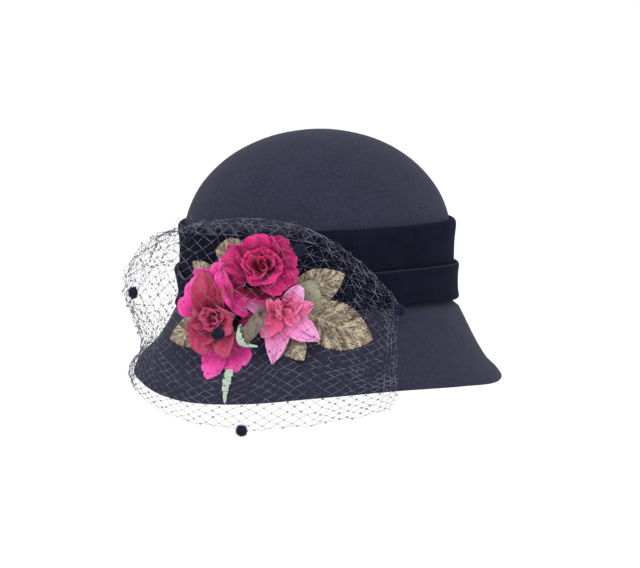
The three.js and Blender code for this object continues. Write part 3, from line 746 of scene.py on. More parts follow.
lowerPetals = [
    (0.0, 0, -2, 10, 4, 153, 21, 38, 22, -14, 34, -30, 4, 1.3),
    (0.0, 0, 3, 7, 4, 97, 28, 19, 16, -6, 12, -30, -8, 2.8),
    (0.0, 0, 6, 8, 4, 68, 27, 18, 18, 0, 8, -40, 12, 2.8),
    (0.0, 0, 4, 10, 8, 84, 21, 13, 22, 4, 4.5, -40, 6, 1.4),
    (0.0, 0, 25, -1, 14, 125, 23, 12, 12, -6, 8, -30, 14, 2.8),
    (0.0, 0, 14.5, 13, 15, 122, 19, 14, 14, -10, 8, -40, -16, 3.0),
    (0.5, 0, 11, 1, 4, 18, 12, 13, 26, 6, 8, -50, 14, 1.3),
    (0.5, 0, 10, -3, 4, 344, 11, 12, 30, 10, 7, -50, -14, 1.3),
    (0.0, 0.1, 4, -18, 5, 246, 18, 23, 12, -12, 10, -20, 16, 0.9),
    (0.0, 0, 9, -13, 5, 294, 20, 22, 12, -6, 30, -25, -4, 0.8),
    (1.0, 0.6, 5, 0, 8, 84, 27, 24, 40, -10, 11, -16, -8, 1.1),
    (1.0, 0.7, 0, 0, 9, 105, 31, 23, 44, -16, 12, -15, 14, 1.1),
    (1.0, 0.3, 3, 0, 9, 84, 22, 12, 48, 0, 8, -45, -24, 0.9),
    (1.0, 0, 0, 0, 8, 174, 14, 20, 48, 6, 14, -40, 8, 0.8),
    (1.0, 0, 0, 0, 8, 226, 19, 23, 40, 2, 18, -40, -4, 0.8),
    (1.0, 0, 1, 0, 8, 266, 23, 37, 34, 0, 26, -55, 4, 0.8),
    (1.0, 0, 0, 0, 10, 350, 16, 25, 66, 16, 11, -95, 8, 0.7),
    (0.9, 0, 0, 0, 11, 24, 10, 14, 78, 44, 6, -50, -10, 0.7),
    (0.9, 0, 0, 0, 11, 150, 10, 14, 78, 44, 6, -45, 12, 0.7),
    (0.9, 0, 0, 0, 11, 262, 9.5, 14, 78, 46, 6, -45, 8, 0.6),
    (0.8, 0, 0, 0, 12, 205, 9, 10, 86, 66, 3.6, -30, -10, 0.6),
    (0.8, 0, 0, 0, 12, 85, 9, 10, 86, 66, 3.6, -30, 10, 0.6),
    (0.7, 0, 0, 0, 13, 330, 8.5, 8, 92, 78, 2.4, -20, -8, 0.5),
]
blossomPetals = [
    (0.0, 0.9, 0, 0, 5, 158, 27, 12, 14, -4, 18, -10, 8, 0.7),
    (0.0, 0.4, 2, 2, 6, 57, 20, 15, 22, -2, 16, -15, -8, 0.8),
    (0.0, 1, 0, 0, 6, 260, 31, 17, 20, -8, 18, -10, 5, 0.5),
    (0.0, 1, 2, 0, 7, 327, 27, 19, 22, -6, 18, -12, -6, 0.5),
    (0.7, 0.7, 2, 2, 8, 18, 20, 14, 34, -6, 9, -20, 10, 0.9),
    (0.6, 0.4, -1, 0, 7, 216, 17, 19, 38, -18, 9, -25, 6, 0.7),
    (1.0, 0.7, 0, 0, 8, 246, 15, 10, 40, -10, 5, -20, 16, 0.6),
    (0.7, 0.2, 5, 5, 8, 44, 9, 16, 60, 10, 6, -60, -28, 2.2),
    (0.9, 0.2, 4, 5, 8, 136, 7, 15, 66, 20, 6, -60, 16, 2.0),
    (0.8, 0.3, 5, 4, 8, 300, 11, 14, 58, 10, 6, -50, 26, 1.8),
    (1.0, 0.6, -4, 2, 8, 112, 12, 9, 58, 30, 4, -30, 14, 0.9),
    (0.9, 0.6, -3, 1, 8, 80, 13, 9, 62, 34, 4, -30, -16, 0.9),
    (1.0, 0.5, -3, -1, 8, 186, 10, 10, 60, 26, 5, -30, 8, 0.8),
    (1.0, 0, 6, 6, 8, 20, 5, 8, 84, 50, 3.2, -30, 30, 1.2),
    (1.0, 0, 2, 3, 8, 215, 7, 8, 78, 50, 3.2, -30, -30, 1.2),
    (0.9, 0.3, 1, 1, 9, 20, 7, 9, 56, 30, 5, -30, 14, 0.8),
]
cloth = {
    "wall": 0.5,
    "gap": 0.5,
    "across": 18,
    "along": 20,
    "steps": 40,
    "creases": 3,
    "crumple": 2.3,
    "crease": 3.0,
    "tipRound": 0.17,
    "ragged": 0.09,
    "reflex": 1.3,
}
# core: share of the height, or below 0 of the root, and share of the radius
coreRows = ((1, 0.45), (0.8, 0.75), (0.55, 1), (0.2, 0.95), (-0.2, 0.8), (-0.5, 0.7))
coreRound = 16


def roundPetal(along):
    if along < 0.62:
        return lerp(0.3, 1, math.sin(along / 0.62 * math.pi / 2))
    return math.sqrt(max(1 - ((along - 0.62) / 0.52) ** 2, 0.2))


def pointedPetal(along):
    share = min(along * 0.93 + 0.07, 1) ** 0.75
    return max(math.sin(math.pi * share), 0.06) ** 0.85


def petalShape(row, root, chance, placed):
    kind, point, right, up, start, angle, length, width, rise, curl, cup, roll, twist, ruffle = row
    lean = math.tan(math.radians(twist))
    creases = []
    for k in range(cloth["creases"]):
        middle = chance.uniform(-0.7, 0.7)
        deep = chance.uniform(0.4, 1)
        creases.append((middle, deep, chance.uniform(0.14, 0.32)))
    phase = [chance.uniform(0, 2 * math.pi) for k in range(3)]
    drift = Vector([chance.uniform(-60, 60) for k in range(3)])
    luck = chance.random()
    steps = cloth["steps"]
    spine = []
    run = root
    climb = start
    for k in range(steps + 1):
        v = k / steps
        pitch = math.radians(lerp(rise, curl, v) + roll * ease(v, 0.62, 1.05))
        spine.append((run, climb, pitch))
        run += math.cos(pitch) * length / steps
        climb += math.sin(pitch) * length / steps
    turn = math.radians(angle)

    def spotAt(across, v):
        s = 2 * across - 1
        trim = (1 - point) * cloth["tipRound"] * abs(s) ** 3
        torn = (1 - point) * cloth["ragged"] * noise.noise(Vector((s * 2.6, 0, 0)) + drift)
        at = clamp(v * (1 - trim + torn), 0, 1) * steps
        k = min(int(at), steps - 1)
        run, climb, pitch = (lerp(spine[k][m], spine[k + 1][m], at - k) for m in range(3))
        breadth = width * lerp(roundPetal(v), pointedPetal(v), point)
        bow = clamp(s * breadth / 2 / cup, -2.4, 2.4)
        out = cup * math.sin(bow)
        lift = cup * (1 - math.cos(bow))
        frill = math.sin(2.3 * s + phase[0]) + 0.6 * math.sin(6.2 * s + phase[1])
        flutter = math.sin(6 * v + phase[2] + (1.6 if s > 0 else 0))
        lift += ruffle * ease(v, 0.35, 1) * frill * 0.55
        lift += ruffle * ease(abs(s), 0.45, 1) * ease(v, 0.2, 0.7) * flutter * 0.6
        fold = noise.noise(Vector((s * 2.3, v * 1.9, 0)) + drift)
        fine = noise.noise(Vector((s * 5.4, v * 4.2, 9)) + drift)
        crumple = cloth["crumple"] * (0.45 - abs(fold) + 0.38 * fine)
        lift += crumple * ease(v, 0.15, 0.6) * min(width / 18, 1)
        for middle, deep, broad in creases:
            groove = max(0, 1 - abs(s - middle) / broad)
            lift -= cloth["crease"] * deep * groove * ease(v, 0.2, 0.8) * min(width / 24, 1)
        lift += lean * out * ease(v, 0, 0.5)
        bent = 0.3 + noise.noise(Vector((s * 1.3, 0, 3)) + drift)
        lift -= cloth["reflex"] * ruffle * ease(v, 0.7, 1) * bent
        away = run - lift * math.sin(pitch)
        x = right + away * math.cos(turn) - out * math.sin(turn)
        y = up + away * math.sin(turn) + out * math.cos(turn)
        return placed(Vector((x, y, climb + lift * math.cos(pitch)))), (v, luck, kind, abs(s))

    return spotAt


def flowerHead(name, piece, rows, material, slot, seed):
    head = heads[name]
    towards = facing(*head["face"])
    right = Vector((0, 0, 1)).cross(towards).normalized()
    up = towards.cross(right)
    base = placeOf(head["base"])

    def placed(point):
        return clearOfHat(base + right * point.x + up * point.y + towards * point.z, cloth["gap"])

    chance = random.Random(seed)
    parts = []
    for row in rows:
        spotAt = petalShape(row, 0.6 * head["radius"], chance, placed)
        parts.append(clothPart(cloth["across"], cloth["along"], cloth["wall"], spotAt))
    rings = []
    for share, radius in coreRows:
        height = share * head["height"] if share > 0 else 2 * share * head["root"]
        reach = radius * head["radius"] * 0.8
        turns = [2 * math.pi * a / coreRound for a in range(coreRound)]
        ring = [Vector((reach * math.cos(turn), reach * math.sin(turn), height)) for turn in turns]
        rings.append([placed(point) for point in ring])
    poles = [placed(Vector((0, 0, head["height"]))), placed(Vector((0, 0, -head["root"])))]
    points, faces = loft(rings, poles)
    # the core is toned as a petal root, so it takes the painted root shade
    parts.append((points, faces, [(0, 0.5, rows[-1][0], 0)] * len(points), [(0.5, 0)] * len(points)))
    clothPiece(piece, parts, material, slot, name)


# petal cloths, with a second blade and edge dye for petals of the other kind; the root colour is a painted
# shade, for the blossom also its deeper pink heart, and the lighter edge is partly a painted highlight
crimson = {
    "palette": {
        "Root": srgb(96, 4, 34),
        "Blade": srgb(198, 22, 104),
        "Edge": srgb(220, 44, 132),
        "Second": srgb(178, 18, 66),
        "Second Edge": srgb(206, 44, 96),
    },
    "depth": {"Streak": 0.5, "Root Shade Depth": 1.0, "Second Shade Depth": 0.55},
    "finish": {"Sheen Tint": srgb(255, 150, 200)},
    "bump": (0.7, 0.7),
}
coral = {
    "palette": {
        "Root": srgb(116, 8, 40),
        "Blade": srgb(236, 56, 160),
        "Edge": srgb(246, 96, 184),
        "Second": srgb(176, 44, 84),
        "Second Edge": srgb(196, 78, 112),
    },
    "depth": {"Streak": 0.5, "Root Shade Depth": 0.4, "Second Shade Depth": 0.8},
    "finish": {"Sheen Tint": srgb(255, 160, 200)},
    "bump": (0.7, 0.7),
}
pink = {
    "palette": {
        "Root": srgb(216, 78, 134),
        "Blade": srgb(226, 142, 202),
        "Edge": srgb(236, 178, 224),
        "Second": srgb(220, 66, 118),
        "Second Edge": srgb(238, 128, 172),
    },
    "depth": {"Streak": 0.6, "Root Shade Depth": 0.55, "Second Shade Depth": 1.0},
    "finish": {"Specular IOR Level": 0.4, "Sheen Tint": srgb(255, 200, 225)},
    "bump": (0.5, 0.4),
}
flowerHead("rose_upper", "upperRose", upperPetals, petalCloth("crimsonCotton", crimson), "crimson_cloth", 11)
flowerHead("rose_lower", "lowerRose", lowerPetals, petalCloth("coralCotton", coral), "coral_cloth", 23)
flowerHead("blossom", "pinkBlossom", blossomPetals, petalCloth("pinkSatin", pink), "pink_cloth", 5)


# leaves: the piece, its stalk end and tip by azimuth, height and distance out from the head oval,
# then width, arch, fold along the rib and how pointed
leafRows = {
    "leaf_right": ("rightLeaf", (49, 8, 5), (77, -11.5, 13.5), 32, 5, 0.1, 1.1),
    "leaf_right_upper": ("upperRightLeaf", (46, 18, 3.5), (66, 33, 8.5), 25, 4, 0.12, 1),
    "leaf_bottom": ("bottomLeaf", (44, -6, 8), (50.5, -22, 24), 20, 2.5, 0.2, 0.9),
    "leaf_upper": ("upperLeaf", (30, 44.5, 0.5), (14, 47, 5), 21, 3, 0.1, 1.4),
    "leaf_left": ("leftLeaf", (17, 21, 2.5), (3, 38, 7), 19, 3, 0.12, 1),
    "leaf_low": ("lowLeaf", (13, -4, 6), (-2.5, -15, 18), 23, 4, 0.2, 0.9),
    "leaf_sage": ("sageLeaf", (48.5, 8, 4.5), (53.5, 30, 13.5), 23, 3.5, 0.06, 1.1),
    "sprig": ("mintSprig", (25.7, -30, 22.2), (27.4, -50.6, 35.9), 6.4, 1.5, 0.12, 1.5),
}
gold = {
    "first": 0,
    "wall": 0.6,
    "across": 24,
    "along": 84,
    "teeth": 21,
    "tooth": 0.08,
    "veins": 6,
    "rib": 0.7,
    "crumple": 0.5,
    "slot": "gold_leaf",
    "palette": {"Ground": srgb(66, 52, 38), "Print": srgb(212, 196, 166), "Shadow": srgb(74, 60, 46)},
    "print": {"Crush Scale": 560.0, "Crush": 0.85},
    "finish": {
        "Metallic": 0.15,
        "Sheen Weight": 0.15,
        "Sheen Tint": srgb(255, 235, 190),
        "Specular IOR Level": 0.35,
    },
    "bump": (0.7, 0.7),
}
sage = {
    "first": 0,
    "wall": 0.6,
    "across": 16,
    "along": 26,
    "teeth": 0,
    "tooth": 0,
    "veins": 0,
    "rib": 0.25,
    "crumple": 0.4,
    "slot": "sage_leaf",
    "palette": {"Ground": srgb(140, 138, 116), "Print": srgb(172, 168, 146), "Shadow": srgb(120, 120, 98)},
    "print": {"Crush Scale": 160.0, "Crush": 0.5},
    "finish": {"Sheen Weight": 0.2, "Specular IOR Level": 0.35},
    "bump": (0.25, 0.4),
}
mint = {
    "first": 0.5,
    "wall": 0.5,
    "across": 8,
    "along": 48,
    "teeth": 4,
    "tooth": 0.4,
    "veins": 0,
    "rib": 0.3,
    "crumple": 0.3,
    "slot": "mint_cloth",
    "palette": {"Ground": srgb(158, 184, 162), "Print": srgb(214, 226, 214), "Shadow": srgb(150, 172, 150)},
    "print": {"Crush Scale": 420.0, "Crush": 0.8},
    "finish": {"Sheen Weight": 0.2, "Specular IOR Level": 0.25},
    "bump": (0.35, 0.4),
}
leafGap = 0.6


def leafShape(cut, seed, stalk, end, width, arch, crease, point):
    chance = random.Random(seed)
    drift = Vector([chance.uniform(-60, 60) for k in range(3)])
    luck = chance.random()
    base = placeOf(stalk)
    tip = placeOf(end)
    way = tip - base
    ahead = way.normalized()
    middle = (base + tip) / 2
    outwards = Vector((middle.x, middle.y, 0))
    outwards = (outwards - ahead * outwards.dot(ahead)).normalized()
    side = ahead.cross(outwards)

    def spotAt(across, v):
        s = 2 * across - 1
        share = lerp(cut["first"], 1, v) ** (0.78 * point)
        breadth = max(math.sin(math.pi * share), 0.03) ** 0.75 * width / 2
        tooth = (v * cut["teeth"] + (0.4 if s > 0 else 0)) % 1 - 0.5
        uneven = 0.05 * noise.noise(Vector((v * 5, 3 * (s > 0), 0)) + drift)
        out = s * breadth * (1 + cut["tooth"] * tooth * ease(abs(s), 0.5, 1) + uneven)
        lift = arch * math.sin(math.pi * v) - crease * abs(out)
        lift -= cut["rib"] * math.exp(-((out / 0.8) ** 2)) * (1 - 0.6 * v)
        vein = 0
        if cut["veins"]:
            lane = (v * cut["veins"] - 1.5 * abs(s) * breadth / width * 2) % 1
            vein = math.exp(-(((lane - 0.5) / 0.13) ** 2)) * ease(abs(s), 0.02, 0.2)
            lift -= 0.3 * vein
            vein = max(vein, math.exp(-((out / 0.9) ** 2)))
        lift += cut["crumple"] * noise.noise(Vector((s * breadth / 6, v * way.length / 6, 0)) + drift)
        lift += 0.9 * ease(abs(s), 0.5, 1) * noise.noise(Vector((v * 3, 2 * (s > 0), 5)) + drift)
        place = base + way * v + side * out + outwards * lift
        return clearOfHat(place, leafGap), (v, luck, vein, abs(s))

    return spotAt


goldMaterial = leafCloth("goldPanne", gold)
sageMaterial = leafCloth("sageSatin", sage)
mintMaterial = leafCloth("mintCloth", mint)
otherLeaves = {"leaf_sage": (sage, sageMaterial), "sprig": (mint, mintMaterial)}
for seed, (node, (piece, *shape)) in enumerate(leafRows.items(), 1):
    cut, material = otherLeaves.get(node, (gold, goldMaterial))
    leaf = clothPart(cut["across"], cut["along"], cut["wall"], leafShape(cut, seed, *shape))
    clothPiece(piece, [leaf], material, cut["slot"], node)


# rolled bud and the cut sepals at its foot
bud = {
    "foot": (30.5, -11, 26),
    "top": (37.5, 9.5, 25),
    "radius": 5.2,
    "turns": 1.7,
    "wall": 0.5,
    "across": 72,
    "along": 24,
    "palette": {"Ground": srgb(98, 85, 74), "Print": srgb(150, 136, 120), "Shadow": srgb(82, 70, 64)},
    "print": {"Crush Scale": 300.0, "Crush": 0.7},
    "finish": {"Sheen Weight": 0.2, "Specular IOR Level": 0.3},
    "bump": (0.35, 0.4),
}
sepals = {
    "wall": 0.45,
    "teeth": 13,
    "from": 4.4,
    "low": 0.35,
    "reach": (0.07, 0.4),
    "tail": 9.5,
    "collarGrid": (64, 10),
    "tailGrid": (4, 14),
}
# share of the bud's height, share of its radius
budRows = [(0, 0.42), (0.15, 0.8), (0.45, 1), (0.8, 0.92), (1, 0.8)]
collarRows = [(-0.06, 0.05), (0, 0.5), (0.15, 0.88), (0.45, 1.06), (0.8, 1)]

budFoot = placeOf(bud["foot"])
budWay = placeOf(bud["top"]) - budFoot
budAhead = budWay.normalized()
budSide = budAhead.cross(facing(shot["azimuth"])).normalized()
budOut = budSide.cross(budAhead)


def budPoint(share, turn, radius):
    return budFoot + budWay * share + (budSide * math.cos(turn) + budOut * math.sin(turn)) * radius


def rolled(s, v):
    turn = 2 * math.pi * bud["turns"] * s - 1.2
    crush = 1 + 0.06 * noise.noise(Vector((3 * s, 2 * v, 4)))
    radius = bud["radius"] * columnAt(budRows, v, 1) * (1 - 0.32 * s) * crush
    share = v * (1 - 0.1 * math.sin(turn) * v + 0.03 * noise.noise(Vector((9 * s, 0, 2))))
    return budPoint(share, turn, radius), (s, 0.4, 0, v)


def collar(s, v):
    # wraps the foot, long on the left and cut away on the right, with a toothed edge
    turn = sepals["from"] - 2 * math.pi * 1.04 * s
    left = (1 - math.cos(turn - sepals["low"])) / 2
    tooth = abs((s * sepals["teeth"]) % 1 - 0.5)
    reach = lerp(*sepals["reach"], left) * (1 - 0.5 * tooth)
    share = lerp(-0.05, reach, v)
    radius = bud["radius"] * columnAt(collarRows, share, 1)
    radius = radius + 0.7 + 0.5 * v * tooth + 0.35 * s + 1.5 * left * v
    return budPoint(share, turn, radius), (v, 0.5, 0, abs(2 * s - 1))


def tail(s, v):
    # a thin end that hangs off the collar
    length = sepals["tail"] * v
    side = (s - 0.5) * lerp(2.6, 1.1, v)
    sag = Vector((0, 0, side - 0.1 * length))
    place = budPoint(0.0, 0.6, 2.4) + aside * length + sag + back * (1.2 * math.sin(3 * v) + 0.5 * side)
    return place, (v, 0.5, 0, abs(2 * s - 1))


roll = clothPart(bud["across"], bud["along"], -bud["wall"], rolled)
rollFaces = [face[::-1] for face in roll[1]]  # its grid faces inwards
clothPiece("rolledBud", [(roll[0], rollFaces, *roll[2:])], leafCloth("oliveCloth", bud), "olive_cloth", "bud")
sepalCuts = ((sepals["collarGrid"], collar), (sepals["tailGrid"], tail))
sepalParts = [clothPart(*grid, sepals["wall"], spotAt) for grid, spotAt in sepalCuts]
clothPiece("budSepals", sepalParts, mintMaterial, "mint_cloth", "bud_sepal")


# veil: azimuth, height of the gathered edge, rise of the puff, reach of the puff, reach at half the brim,
# drop below the rim
veilRows = [
    (-62, 44, -4, 19, 27, 8),
    (-35, 52, -7, 38, 23, 9),
    (-10, 56, 0, 37, 32, 9),
    (15, 58, 11, 42, 41, 13),
    (35, 58, 14, 41, 41, 18),
    (55, 53, 10, 35, 36, 18),
    (75, 33, 5, 20, 25, 14),
    (93, 8, 2, 9, 20, 9),
]
veil = {
    "across": 66,
    "rows": 42,
    "hemClose": 0.64,
    "hemWave": 1.5,
    "bandOut": 5.4,
    "foldOut": 6.4,
    "slant": 14,
    "drift": 0.032,
    "wander": 1.5,
    "tangle": 3.0,
    "tie": 4,
    "loopRise": 0.6,
    "loopSteps": 8,
    "loopsTo": 0.7,
    "rails": 3,
    "railSteps": 24,
    "threadRadius": 0.15,
    "knotRadius": 0.62,
    "turnedFrom": 20,
    "turnedReach": (0.18, 0.46),
    "flat": (0.16, 0.32),
    "cover": 0.3,
    "seed": 4,
    # the light thread dye is a painted sheen, in random patches over the dark thread; the knots take the
    # marked tone
    "palette": {"Dark": srgb(50, 48, 66), "Light": srgb(142, 143, 162), "Marked Tone": srgb(76, 73, 94)},
    "grain": {"Cloud Scale": 120.0, "Cloud": 1.5, "Fibre Scale": 2600.0, "Fleck": 0.8},
    "finish": {"Sheen Weight": 0.1, "Specular IOR Level": 0.3, "Alpha": 0.43},
    "bump": (0.2, 0.1),
}


def centripetal(points, samples):
    # open Catmull-Rom with centripetal spacing, as evenly spaced points
    ends = [points[0] * 2 - points[1]] + points + [points[-1] * 2 - points[-2]]
    perSpan = 12
    dense = []
    for k in range(len(points) - 1):
        a, b, c, d = ends[k : k + 4]
        gaps = [max((q - p).length ** 0.5, 1e-4) for p, q in ((a, b), (b, c), (c, d))]
        near = ((b - a) / gaps[0] - (c - a) / (gaps[0] + gaps[1]) + (c - b) / gaps[1]) * gaps[1]
        far = ((c - b) / gaps[1] - (d - b) / (gaps[1] + gaps[2]) + (d - c) / gaps[2]) * gaps[1]
        for part in range(perSpan):
            t = part / perSpan
            bend = b * (2 * t**3 - 3 * t * t + 1) + c * (3 * t * t - 2 * t**3)
            dense.append(bend + near * (t**3 - 2 * t * t + t) + far * (t**3 - t * t))
    dense.append(points[-1])
    walked = [0.0]
    for k in range(1, len(dense)):
        walked.append(walked[-1] + (dense[k] - dense[k - 1]).length)
    made = []
    for share in samples:
        target = share * walked[-1]
        k = 1
        while k < len(dense) - 1 and walked[k] < target:
            k += 1
        made.append(dense[k - 1].lerp(dense[k], (target - walked[k - 1]) / (walked[k] - walked[k - 1])))
    return made


def veilPoint(u, v):
    first = veilRows[0][0]
    span = veilRows[-1][0] - first
    azimuth = first + (span - veil["slant"] * v) * u
    top, crest, belly, waist, hem = (columnAt(veilRows, azimuth, k) for k in range(1, 6))
    rim = rimAt(azimuth, 1)
    reach = rimAt(azimuth, 2)
    start = lerp(veil["foldOut"], veil["bandOut"], ease(top, 28, 40))
    rows = [
        (start, top),
        (lerp(start, belly, 0.38), top + crest),
        (lerp(start, belly, 0.84), top * 0.62),
        (belly, top * 0.25),
        (waist, lerp(headLine(azimuth), rim, 0.5)),
        (reach + 3.6, rim),
        (reach + 1, rim - hem),
    ]
    oval = ovalRadius(azimuth)
    return centripetal([hatPoint(azimuth, oval + out, height) for out, height in rows], [v])[0]


def wandered(point, i, j, share):
    spot = Vector((i * 0.61, j * 0.61, share * 9))
    shift = Vector([noise.noise(spot + Vector((k * 17.3, 0, 0))) for k in range(3)])
    return point + shift * (veil["wander"] * share)


def netThreads():
    # two families of slanting threads, each thread a chain of points, with the knots on the first family
    chance = random.Random(veil["seed"])
    points = []
    edges = []
    knots = []
    across = veil["across"]
    rows = veil["rows"]

    def chain(places, marks=None):
        for k, place in enumerate(places):
            if k:
                edges.append((len(points) - 1, len(points)))
            points.append(place)
            knots.append(marks[k] if marks else False)

    def slack(a, b, loose):
        return a.lerp(b, 0.5) + Vector([chance.uniform(-1, 1) for k in range(3)]) * loose

    def threaded(placeAt, aside, up, marked):
        # all threads that run one way through a layer, from the hem upwards
        for i, j in placeAt:
            if (i - aside, j - up) in placeAt:
                continue
            places = [placeAt[(i, j)]]
            marks = [marked]
            ahead = (i + aside, j + up)
            while ahead in placeAt:
                loose = lerp(0.5, 0.07, ease(ahead[0] / across, 0.25, 0.5))
                places += [slack(places[-1], placeAt[ahead], loose), placeAt[ahead]]
                marks += [False, marked]
                ahead = (ahead[0] + aside, ahead[1] + up)
            if len(places) > 1:
                chain(places, marks)

    def tied(i, v):
        # the gathered edge is caught up by a stitch at every few meshes
        stitch = round(i / veil["tie"]) * veil["tie"]
        return lerp(stitch, i, lerp(0.3, 1, ease(v, 0, 0.14))) / across

    def pulled(u, v):
        # the net isn't stretched evenly, but its edges stay where they are sewn or cut
        spot = Vector((u * 7, v * 4, 0))
        inside = 4 * min(v, 1 - v, 0.25)
        swayU = veil["drift"] * noise.noise(spot)
        swayV = 1.6 * veil["drift"] * noise.noise(spot + Vector((0, 0, 20)))
        return veilPoint(clamp(u + swayU * inside), clamp(v + swayV * inside))

    outer = {}
    turned = {}
    for i in range(across + 1):
        for j in range(i % 2, rows + 1, 2):
            t = j / rows
            v = 1 - lerp(t * t, t, veil["hemClose"])
            puffed = (1 - ease(i / across, 0.3, 0.55)) * ease(v, 0.02, 0.15) * (1 - ease(v, 0.5, 0.75))
            loose = (1 if 0 < j < rows else 0.3) + veil["tangle"] * puffed
            place = pulled(tied(i, v), v)
            place.z += veil["hemWave"] * noise.noise(Vector((i / 3.1, 5, 0))) * ease(v, 0.84, 1)
            outer[(i, j)] = wandered(place, i, j, loose)
            reach = lerp(*veil["turnedReach"], ease(i / across, 0.62, 0.85))
            if i % 2 or i < veil["turnedFrom"] or v > reach:
                continue
            inwards = Vector((place.x, place.y, 0)).normalized()
            turned[(i, j)] = wandered(place - inwards * min(20 * v, 1), i + 30, j + 70, 0.7)
    threaded(outer, 1, 1, True)
    threaded(outer, -1, 1, False)
    threaded(turned, 2, 0, False)
    threaded(turned, 0, 2, False)
    hem = []
    for i in range(0, across - 1, 2):
        hem += [outer[(i, 0)], slack(outer[(i, 0)], outer[(i + 2, 0)], 0.6)]
    hem.append(outer[(across, 0)])
    chain(hem)
    steps = veil["loopSteps"]
    for i in range(veil["turnedFrom"], int(veil["loopsTo"] * across), veil["tie"]):
        # loops of thread stand up between the stitches
        left = veilPoint(i / across, 0)
        right = veilPoint((i + veil["tie"]) / across, 0)
        rise = Vector((0, 0, 1)) * (left - right).length * veil["loopRise"] * chance.uniform(0.7, 1.3)
        bow = [rise * math.sin(math.pi * k / steps) for k in range(steps + 1)]
        chain([left.lerp(right, k / steps) + bow[k] for k in range(steps + 1)])
    for k in range(veil["rails"]):
        # threads along the folded edge by the ear
        sway = chance.uniform(0, 40)
        rail = []
        for m in range(veil["railSteps"] + 1):
            v = lerp(0.06, 1, m / veil["railSteps"])
            bend = noise.noise(Vector((v * 5, sway, 0)))
            rail.append(veilPoint(1 - 0.012 * k - 0.008 * (1 + bend), v))
        chain(rail)
    print("net", len(outer), "knots,", len(turned), "in the fold")
    return points, edges, knots


def startTree(name, sizes):
    # every geometry tree takes a mesh, named sizes and a seed
    tree = bpy.data.node_groups.new(name, "GeometryNodeTree")
    inputs = [("Geometry", geometrySocket)] + [(size, floatSocket) for size in sizes]
    addSockets(tree, inputs + [("Seed", wholeSocket)], [("Geometry", geometrySocket)])
    return tree, addNode(tree, "NodeGroupInput").outputs


def endTree(tree, parts, material, smooth=False):
    # the parts joined as one mesh with its material
    joined = addNode(tree, "GeometryNodeJoinGeometry")
    for part in parts:
        tree.links.new(part, joined.inputs[0])
    last = addNode(tree, "GeometryNodeRealizeInstances", {"Geometry": joined.outputs[0]})
    if smooth:
        last = addNode(tree, "GeometryNodeSetShadeSmooth", {"Geometry": last.outputs[0]})
    last = addNode(tree, "GeometryNodeSetMaterial", {"Geometry": last.outputs[0], "Material": material})
    addNode(tree, "NodeGroupOutput", {"Geometry": last.outputs[0]})
    return tree


def netTree(material):
    tree, start = startTree("knottedNet", ("Thread Radius", "Knot Radius"))
    line = addNode(tree, "GeometryNodeMeshToCurve", {"Mesh": start["Geometry"]}).outputs[0]
    profile = {"Resolution": 4, "Radius": start["Thread Radius"]}
    ring = addNode(tree, "GeometryNodeCurvePrimitiveCircle", profile).outputs[0]
    thread = {"Curve": line, "Profile Curve": ring, "Fill Caps": True}
    tube = addNode(tree, "GeometryNodeCurveToMesh", thread).outputs[0]
    ball = addNode(tree, "GeometryNodeMeshIcoSphere", {"Subdivisions": 1, "Radius": start["Knot Radius"]})
    toneMark = {"Geometry": ball.outputs[0], "Name": "tone", "Value": (1, 0, 0, 1)}
    knot = addNode(tree, "GeometryNodeStoreNamedAttribute", toneMark, data_type="FLOAT_COLOR", domain="POINT")
    marks = addNode(tree, "GeometryNodeInputNamedAttribute", {"Name": "knot"}, data_type="BOOLEAN")
    sizes = {"Min": 0.45, "Max": 1.5, "Seed": start["Seed"]}
    size = addNode(tree, "FunctionNodeRandomValue", sizes, data_type="FLOAT")
    turn = addNode(tree, "FunctionNodeRandomValue", {"Max": (6.28, 6.28, 6.28)}, data_type="FLOAT_VECTOR")
    knots = {
        "Points": start["Geometry"],
        "Selection": marks.outputs["Attribute"],
        "Instance": knot.outputs[0],
        "Rotation": turn.outputs[0],
        "Scale": size.outputs[1],
    }
    tied = addNode(tree, "GeometryNodeInstanceOnPoints", knots).outputs[0]
    return endTree(tree, (tied, tube), material, smooth=True)


def setInputs(modifier, values):
    # a modifier's named inputs, by the identifiers of their sockets
    for item in modifier.node_group.interface.items_tree:
        if item.item_type == "SOCKET" and item.in_out == "INPUT" and item.name in values:
            modifier[item.identifier] = values[item.name]


netMaterial = fibreCloth("netThread", veil)
netPoints, netEdges, netKnots = netThreads()
netMesh = bpy.data.meshes.new("netVeil")
netMesh.from_pydata([point * mm for point in netPoints], netEdges, [])
netMesh.attributes.new("knot", "BOOLEAN", "POINT").data.foreach_set("value", netKnots)
netVeil = bpy.data.objects.new("netVeil", netMesh)
scene.collection.objects.link(netVeil)
knotting = netVeil.modifiers.new("knotting", "NODES")
knotting.node_group = netTree(netMaterial)
netSizes = {"Thread Radius": veil["threadRadius"] * mm, "Knot Radius": veil["knotRadius"] * mm}
setInputs(knotting, {**netSizes, "Seed": veil["seed"]})
baked(netVeil)
settle(netVeil, "net", "veil")
print("net veil", len(netVeil.data.polygons), "faces")


